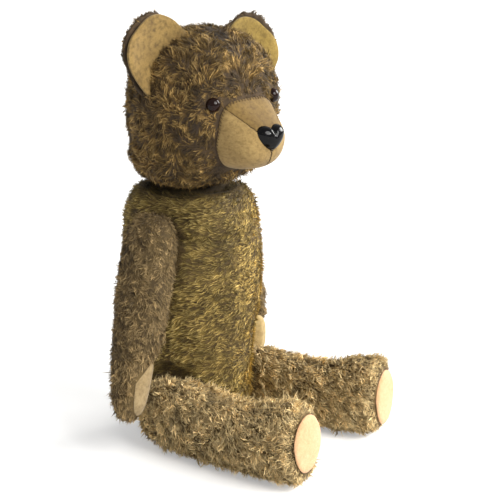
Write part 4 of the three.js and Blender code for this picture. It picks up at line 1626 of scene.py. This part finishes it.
@dataclass
class Head:
    """The head: plush round, felt muzzle, ears, eyes and nose."""

    muzzle: Muzzle = field(default_factory=Muzzle)
    ears: tuple[Ear, Ear] = (
        Ear(Side.RIGHT, 35.0, 45.0, 42.0, 30.0, (0.0, 3.5, 3.2)),
        Ear(Side.LEFT, 21.5, 48.0, 38.0, 31.0, (0.0, 3.0, -1.5)),
    )
    plush: Plush = field(
        default_factory=lambda: Plush(
            "head",
            "head",
            "head_plush",
            ("head_cover", "head_filling"),
            HEAD_CLOTH,
            HEAD_PILE,
            PileCut(1.9, 7.2, 0.46, 5.0, 0.5, 0.24, 0.25, 2.0, 11),
        )
    )

    def held(self, points: np.ndarray) -> np.ndarray:
        """Held at the neck and under the muzzle."""
        at = local(points, face_frame())
        under = (1 - step_up(np.hypot(at[:, 0], at[:, 2] + 5), 30, 36)) * (at[:, 1] < -40)
        return np.maximum(near_joint(points, neck_frame(), NECK_PRESS + 2), under)

    def pile(self, skin: Piece, felt: list[Piece]) -> PileField:
        """Where the head's pile grows and how it lies."""
        points, normals = points_of(skin), normals_of(skin)
        at = local(points, face_frame())
        muzzle = np.min([distances(points, tree_of(piece)) for piece in felt], axis=0) / MM
        from_eyes = [np.linalg.norm(local(points, EyeButton(side).matrix()), axis=1) for side in Side]
        eyes = np.min(from_eyes, axis=0)
        away = unit(laid(points - placed([[0, -60.0, -4.0]], face_frame()), normals))
        comb = away + np.array([0, 0, -0.35]) * (at[:, 2:3] < 10)
        swirl = wander(points, (3.4, 0.017, 4.0), (0.8, 0.007, 9.0))
        comb = turned_about(unit(comb), normals, swirl)
        under_felt = (at[:, 1] < -46) & (np.hypot(at[:, 0], at[:, 2] + 5) < 24)
        density = step_up(muzzle, 1.2, 2.4) * step_up(eyes, 4.8, 6.0) * (1 - under_felt)
        wide_parting = furrows(points, 0.021, 2.2, 0.13)
        parting = np.maximum(furrows(points, 0.012, 7.5, 0.24), 0.9 * wide_parting)
        density *= 1 - 0.55 * parting
        length = 0.85 + 0.3 * drift(points, 0.015, 7.0)
        length *= 0.62 + 0.38 * step_up(muzzle, 1, 9)
        length *= 0.6 + 0.4 * step_up(eyes, 6, 12)
        length *= 0.65 + 0.35 * step_up(at[:, 2], -55, -44)
        rise = 0.21 + 0.16 * drift(points, 0.012, 5.0) - 0.12 * parting - 0.1 * (1 - step_up(muzzle, 2, 8))
        # Painted shade in the partings and on the crown; the locks are lighter and darker tone at random.
        lock = drift(points, 0.0075, 1.7)
        crown = step_up(at[:, 2], 32, 58)
        dark = np.max([parting, 0.65 * step_up(lock, 0.0, 0.4), 0.4 * crown], axis=0)
        dark -= 0.45 * step_up(-lock, 0.0, 0.4)
        pile = PileField(density, length, np.maximum(rise, 0.08), comb, dark)
        pressed_flat(pile, near_joint(points, neck_frame(), NECK_PRESS))
        return pile

    def round_out(self, skin: Piece) -> None:
        """Rounds out the crown and the cheeks, and draws the skin in under the muzzle's felt."""
        at = local(points_of(skin), face_frame())
        at[:, 2] += 6.0 * step_up(at[:, 2], 24, 56) + 2.5 * (1 - step_up(at[:, 2], -56, -42))
        at[:, 0] *= 1 + 0.06 * step_up(at[:, 2], 20, 50)
        cheeks = step_up(at[:, 2], -52, -38) * (1 - step_up(at[:, 2], -34, -12))
        at[:, :2] *= 1 + 0.07 * cheeks[:, None]
        middle = np.array([0, -40.0, -6.0])
        under = 1 - step_up(np.hypot(at[:, 0], at[:, 2] + 6), 24, 29)
        share = under * step_up(-at[:, 1], 46, 54)
        share += 0.7 * share * step_up(at[:, 2], 0, 10)
        move_points(skin, placed(at + (middle - at) * 0.17 * share[:, None], face_frame()))

    def build(self) -> None:
        """Builds every piece of the head."""
        felt = self.muzzle.build()
        skin = self.plush.skin(self.held)
        self.round_out(skin)
        self.plush.finish_skin(skin)
        self.plush.grow(skin, self.pile(skin, felt))
        face = tree_of(*felt)
        whip = Stitches("muzzle_edge_stitches", 2.6, 3.4, 0.4, 66.0)
        sew_face(whip, self.muzzle.rim(), face, 0.1, closed=True)
        for side in Side:
            seam = Stitches(f"bridge_seam_stitches_{side.value}", 2.2, 1.9, 0.28, 12.0)
            sew_face(seam, self.muzzle.seam(side), face, 0.15)
        mouth = Stitches("mouth_stitches", 2.3, 3.0, 0.55, 14.0)
        sew_face(mouth, self.muzzle.mouth(), face, 0.1)
        for ear in self.ears:
            ear.lining()
            ear.back()
        NoseButton().build()
        for side in Side:
            EyeButton(side).build()


# ---- body and limbs ----

# The way the torso's painted light comes from: the side facing it is painted lighter.
PAINTED_LIGHT_WAY = np.array([0.53, -0.85, 0.0])
CREASE_HEIGHT = 166.0
CREASE_FOLD = 6.5
LIMB_REACH = 60.0


def limb_plush(limb: str, side: Side, finish: PileFinish, cut: PileCut) -> Plush:
    """The plush of an arm or a leg."""
    nodes = (f"{limb}_cover_{side.value}", f"{limb}_filling_{side.value}")
    name = f"{limb}_{side.value}"
    return Plush(name, name, f"{limb}_plush", nodes, BODY_CLOTH, finish, cut)


def limb_pad(limb: str, pad: str, side: Side, matrix: Matrix, oval: Oval, sag: float = 8.0) -> Pad:
    """The felt pad of an arm or a leg."""
    bed = (f"{limb}_cover_{side.value}", f"{pad}_pad_{side.value}")
    return Pad(f"{pad}_felt_{side.value}", matrix, oval, bed[1], bed, f"{limb}_{side.value}", sag=sag)


def from_torso(points: np.ndarray) -> np.ndarray:
    """How far each point is from the torso's cover, in millimetres."""
    return distances(points, surface_of(["torso_cover"]), 0.03) / MM


@dataclass
class Torso:
    """The long straight body with its short, thin-worn pile."""

    plush: Plush = field(
        default_factory=lambda: Plush(
            "torso",
            "torso",
            "torso_plush",
            ("torso_cover", "torso_filling"),
            BODY_CLOTH,
            TORSO_PILE,
            PileCut(1.2, 6.6, 0.44, 4.0, 0.3, 0.22, 0.22, 1.1, 21),
        )
    )

    def joints(self) -> list[tuple[Matrix, float]]:
        """Each joint's frame and its pressed radius."""
        return [
            (neck_frame(), NECK_PRESS),
            *[(shoulder_frame(side), SHOULDER_PRESS) for side in Side],
            *[(hip_frame(side), HIP_PRESS) for side in Side],
        ]

    def held(self, points: np.ndarray) -> np.ndarray:
        """Held at the joints and where it sits."""
        pressed = [near_joint(points, matrix, radius + 14) for matrix, radius in self.joints()]
        return np.max([*pressed, 1 - step_up(points[:, 2], 0.001, 0.004)], axis=0)

    def pile(self, skin: Piece) -> PileField:
        """Where the pile grows: combed round the body, thin over the middle."""
        points, normals = points_of(skin), normals_of(skin)
        around = unit(np.cross(normals, np.array([0, 0, 1.0])))
        swirl = 0.15 + wander(points, (0.8, 0.022, 1.0), (0.7, 0.008, 6.0))
        comb = turned_about(around, normals, swirl)
        worn = step_up(drift(points, 0.028, 8.0), 0.05, 0.45)
        parting = furrows(points * np.array([1, 1, 2.6]), 0.011, 5.5)
        length = 0.9 + 0.25 * drift(points, 0.012, 3.0) - 0.15 * worn
        rise = 0.2 + 0.1 * drift(points, 0.01, 2.0)
        density = (1 - 0.3 * worn) * (1 - 0.3 * parting)
        low = 1 - step_up(points[:, 2], 0.03, 0.07)
        length *= 1 + 0.25 * low
        limbs = [f"{limb}_cover_{side.value}" for limb in ("arm", "leg") for side in Side]
        near = distances(points, surface_of(limbs), 0.03) / MM
        # Painted light on the side facing that way, which also weakens the painted shade beside the limbs
        # there.
        painted_light = step_up(normals @ unit(PAINTED_LIGHT_WAY), 0.58, 0.95)
        from_axis = np.hypot(points[:, 0], points[:, 1])
        neck = step_up(points[:, 2], 0.189, 0.197) * (1 - step_up(from_axis, 0.034, 0.046))
        # Painted shade: in the partings, in the chest crease, beside the arms and legs, under the head, at
        # the floor and low on the body; the top is darker too.
        shades = [
            0.75 * parting,
            0.8 * self.crease(points, CREASE_HEIGHT, 3.4),
            (1 - 0.6 * painted_light) * (1 - step_up(near, 3, 15)),
            neck,
            0.7 * (1 - step_up(points[:, 2], 0.006, 0.022)),
            0.38 * (1 - step_up(points[:, 2], 0.03, 0.11)),
            0.3 * step_up(points[:, 2], 0.12, 0.17),
        ]
        dark = np.max(shades, axis=0) - painted_light
        pile = PileField(density, length, rise + 0.1 * low, comb, dark)
        for matrix, radius in self.joints():
            pressed_flat(pile, near_joint(points, matrix, radius))
        return pile

    @staticmethod
    def crease(points: np.ndarray, height: float, spread: float) -> np.ndarray:
        """1 along a level line across the chest's right side, falling to 0 beside it."""
        round_it = np.degrees(np.arctan2(-points[:, 1], -points[:, 0]))
        across = step_up(round_it, 8, 24) * (1 - step_up(round_it, 66, 88))
        return across * np.exp(-(((points[:, 2] / MM - height) / spread) ** 2))

    def build(self) -> None:
        """Builds the body."""
        skin = self.plush.skin(self.held)
        points = points_of(skin)
        dent = -2.4 * self.crease(points, CREASE_HEIGHT, 2.8)
        for height in (CREASE_HEIGHT + CREASE_FOLD, CREASE_HEIGHT - CREASE_FOLD):
            dent += 0.9 * self.crease(points, height, 2.0)
        points += normals_of(skin) * dent[:, None] * MM
        brim = step_up(np.hypot(points[:, 0], points[:, 1]), 0.03, 0.04)
        brim *= 1 - step_up(np.abs(points[:, 0]), 0.026, 0.036)
        points[:, 2] += 5 * MM * step_up(points[:, 2], 0.15, 0.19) * brim
        move_points(skin, points)
        self.plush.finish_skin(skin)
        self.plush.grow(skin, self.pile(skin))


@dataclass
class Arm:
    """A straight arm with a felt pad on the paw."""

    side: Side
    slimmed: float = 0.27
    drawn_in: float = 2.6

    def plush(self) -> Plush:
        """The arm's plush."""
        cut = PileCut(1.6, 5.2, 0.48, 3.2, 0.3, 0.5, 0.5, 2.4, 41 + self.side.sign)
        return limb_plush("arm", self.side, ARM_PILE, cut)

    def pad(self) -> Pad:
        """The paw's felt."""
        matrix = shoulder_frame(self.side) @ shift(13, 0, -107) @ turn(180 + 66, "Z")
        return limb_pad("arm", "paw", self.side, matrix, Oval(21.5, 13.0))

    def slim(self, piece: Piece) -> None:
        """Draws in the right paw's front, which has lost some of its filling."""
        matrix = shoulder_frame(self.side)
        at = local(points_of(piece), matrix)
        if self.side is Side.RIGHT:
            at[:, 1] *= 1 - self.slimmed * step_up(-at[:, 2], 62, 90) * (at[:, 1] < 0)
        move_points(piece, placed(at, matrix))

    def build(self) -> None:
        """Builds the arm."""
        matrix = shoulder_frame(self.side)
        plush, pad = self.plush(), self.pad()
        skin = plush.skin(lambda points: near_joint(points, matrix, LIMB_REACH))
        felt = pad.build(PAW_FELT[self.side], "tan_felt")
        self.slim(skin)
        self.slim(felt)
        points, normals = points_of(skin), normals_of(skin)
        down = laid(aimed([[0, 0, -1.0]], matrix), normals)
        swirl = wander(points, (1.6, 0.016, 3.0), (1.1, 0.007, 5.0))
        comb = turned_about(unit(down), normals, swirl)
        near = distances(points, tree_of(felt)) / MM
        parting = furrows(points, 0.009, 3.5)
        worn = step_up(drift(points, 0.02, 6.0), 0.1, 0.5)
        density = step_up(near, 1.4, 2.6) * (1 - 0.3 * worn) * (1 - 0.3 * parting)
        length = (0.9 + 0.3 * drift(points, 0.01, 1.0)) * (0.45 + 0.55 * step_up(near, 1.5, 7))
        at = local(points, matrix)
        # Painted shade in the partings and where the arm lies against the body; the pile is paler towards
        # the paw.
        dark = np.maximum(0.7 * parting, 0.75 * (1 - step_up(from_torso(points), 2, 9)))
        dark -= 0.35 * (1 - step_up(at[:, 2], -110, -60))
        pile = PileField(density, length, 0.26 + 0.12 * drift(points, 0.01, 8.0), comb, dark)
        pressed_flat(pile, near_joint(points, matrix, SHOULDER_PRESS + 2))
        pressed_flat(pile, 0.5 * near_joint(points, matrix, LIMB_REACH))
        rubbed = step_up(at[:, 2], -75, -45) * step_up(-normals[:, 1], 0.2, 0.6)
        if self.side is Side.LEFT:
            move_points(skin, points - normals * rubbed[:, None] * self.drawn_in * MM)
        pressed_flat(pile, (0.75 if self.side is Side.LEFT else 0.3) * rubbed)
        plush.finish_skin(skin)
        plush.grow(skin, pile)


@dataclass
class Leg:
    """A straight leg with an upturned foot and a pale sole."""

    side: Side

    def plush(self) -> Plush:
        """The leg's plush."""
        cut = PileCut(1.95, 7.4, 0.55, 4.2, 0.34, 0.4, 0.45, 2.0, 51 + self.side.sign)
        return limb_plush("leg", self.side, LEG_PILE, cut)

    def pad(self) -> Pad:
        """The sole's felt."""
        angle = {Side.RIGHT: 0.0, Side.LEFT: 5.0}[self.side]
        up = {Side.RIGHT: 6.5, Side.LEFT: 3.5}[self.side]
        middle = 18 + 72 * math.sin(math.radians(angle))
        matrix = hip_frame(self.side) @ shift(middle, -120, up) @ turn(-90 + angle, "Z")
        return limb_pad("leg", "sole", self.side, matrix, Oval(22.5, 17.0, 0.12), sag=0.8)

    def build(self) -> None:
        """Builds the leg."""
        matrix = hip_frame(self.side)
        plush, pad = self.plush(), self.pad()
        skin = plush.skin(lambda points: near_joint(points, matrix, LIMB_REACH))
        felt = pad.build(SOLE_FELT, "pad_felt")
        points, normals = points_of(skin), normals_of(skin)
        ahead = unit(laid(aimed([[0, -1.0, 0]], matrix) + (0, 0, -0.35), normals))
        swirl = wander(points, (1.3, 0.018, 2.0), (0.8, 0.008, 7.0))
        ahead = turned_about(ahead, normals, {Side.RIGHT: 1.0, Side.LEFT: 0.55}[self.side] * swirl)
        near = distances(points, tree_of(felt)) / MM
        rim = (1 - step_up(near, 4, 12))[:, None]
        spread = aimed(local(points, pad.matrix) * (0, 1, 1) - (8, 0, 0), pad.matrix)
        comb = unit(ahead * (1 - rim) + unit(laid(spread, normals)) * rim)
        parting = furrows(points, 0.012, 1.5)
        worn = step_up(drift(points, 0.02, 6.0), 0.1, 0.5)
        density = step_up(near, 1.2, 2.4) * (1 - 0.25 * worn) * (1 - 0.35 * parting)
        length = 0.9 + 0.3 * drift(points, 0.012, 4.0)
        length *= 0.4 + 0.6 * step_up(near, 1.5, 10)
        rise = 0.38 + 0.14 * drift(points, 0.01, 9.0) - 0.08 * parting
        # Painted shade in the partings and where the leg meets the body.
        dark = np.maximum(0.5 * parting, 0.85 * (1 - step_up(from_torso(points), 2, 12)))
        pile = PileField(density, length, rise, comb, dark)
        pressed_flat(pile, near_joint(points, matrix, HIP_PRESS))
        pressed_flat(pile, 1 - step_up(points[:, 2], 0.003, 0.008))
        plush.finish_skin(skin)
        plush.grow(skin, pile)


# ---- hardware inside ----


def dress_hardware() -> None:
    """Gives the discs, washers, pins and filling their own finishes."""
    for name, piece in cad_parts.items():
        steel = "washer" in name or name.endswith("_pin")
        WARDROBE.dress(piece, BOARD if "_disc_" in name else STEEL if steel else WOOD_WOOL)


# ---- studio ----


@dataclass
class Studio:
    """A pale floor, soft light and the camera."""

    target: tuple[float, float, float] = (51.4, -11.3, 135.7)
    azimuth: float = -58.0
    elevation: float = 15.5
    distance: float = 1400.0
    angle: float = 16.26
    floor_half: float = 6.0

    def camera(self) -> None:
        """Sets the camera."""
        a, e = math.radians(self.azimuth), math.radians(self.elevation)
        back = Vector((math.sin(a) * math.cos(e), -math.cos(a) * math.cos(e), math.sin(e)))
        data = bpy.data.cameras.new("camera")
        data.angle = math.radians(self.angle)
        camera = bpy.data.objects.new("camera", data)
        bpy.context.scene.collection.objects.link(camera)
        camera.location = (Vector(self.target) + back * self.distance) * MM
        camera.rotation_euler = (-back).to_track_quat("-Z", "Y").to_euler()
        bpy.context.scene.camera = camera

    def sun(self, name: str, way: tuple[float, float, float], spread: float, power: float) -> None:
        """Adds the soft light of a large window that lies that way."""
        data = bpy.data.lights.new(name, "SUN")
        data.angle, data.energy, data.color = math.radians(spread), power, (1.0, 0.985, 0.95)
        lamp = bpy.data.objects.new(name, data)
        lamp.rotation_euler = Vector(way).to_track_quat("Z", "Y").to_euler()
        bpy.context.scene.collection.objects.link(lamp)

    def glint(self, place: tuple[float, float, float], size: float, power: float) -> None:
        """Adds a small lamp that glints in the eyes and the nose, with its place and size in metres."""
        data = bpy.data.lights.new("glint", "AREA")
        data.shape, data.size, data.energy = "DISK", size, power
        lamp = bpy.data.objects.new("glint", data)
        lamp.location = place
        lamp.rotation_euler = (Vector(place) - Vector((0, 0, 0.2))).to_track_quat("Z", "Y").to_euler()
        bpy.context.scene.collection.objects.link(lamp)

    def floor(self) -> None:
        """Lays the floor."""
        half = self.floor_half
        corners = np.array([(-half, -half, 0), (half, -half, 0), (half, half, 0), (-half, half, 0)])
        piece = piece_from("floor", corners, [(0, 1, 2, 3)])
        material, sheet, shader = fresh_material("pale_floor")
        seen = sheet.out("ShaderNodeLightPath", get="Is Camera Ray")
        sheet.feed(
            shader,
            {
                "Base Color": sheet.blend(sheet.noise(1.5), rgba((226, 226, 226)), rgba((232, 232, 232))),
                "Roughness": 0.9,
                "Specular IOR Level": 0.1,
                "Emission Color": (1, 1, 1, 1),
                "Emission Strength": sheet.math("MULTIPLY", seen, 0.35),
            },
        )
        piece.data.materials.append(material)

    def build(self) -> None:
        """Sets up camera, floor and light."""
        self.camera()
        self.floor()
        world = bpy.data.worlds.new("studio")
        world.use_nodes = True
        sheet = Sheet(world.node_tree)
        background = next(n for n in world.node_tree.nodes if n.type == "BACKGROUND")
        seen = sheet.out("ShaderNodeLightPath", get="Is Camera Ray")
        sheet.feed(background, {"Color": (1, 1, 1, 1), "Strength": sheet.ramp(seen, 0.0, 1.0, 0.45, 1.0)})
        bpy.context.scene.world = world
        bpy.context.scene.view_settings.view_transform = "Standard"
        self.sun("window", (-0.15, -0.8, 0.55), 40.0, 3.6)
        self.sun("rim", (0.85, -0.4, 0.4), 30.0, 3.4)
        self.glint((0.1, -1.6, 1.0), 0.11, 3.2)


def main() -> None:
    """Builds the bear and its studio."""
    logging.basicConfig(level=logging.INFO, format="%(message)s")
    Studio().build()
    dress_hardware()
    Head().build()
    Torso().build()
    for side in Side:
        Arm(side).build()
        Leg(side).build()


if __name__ == "__main__":
    main()
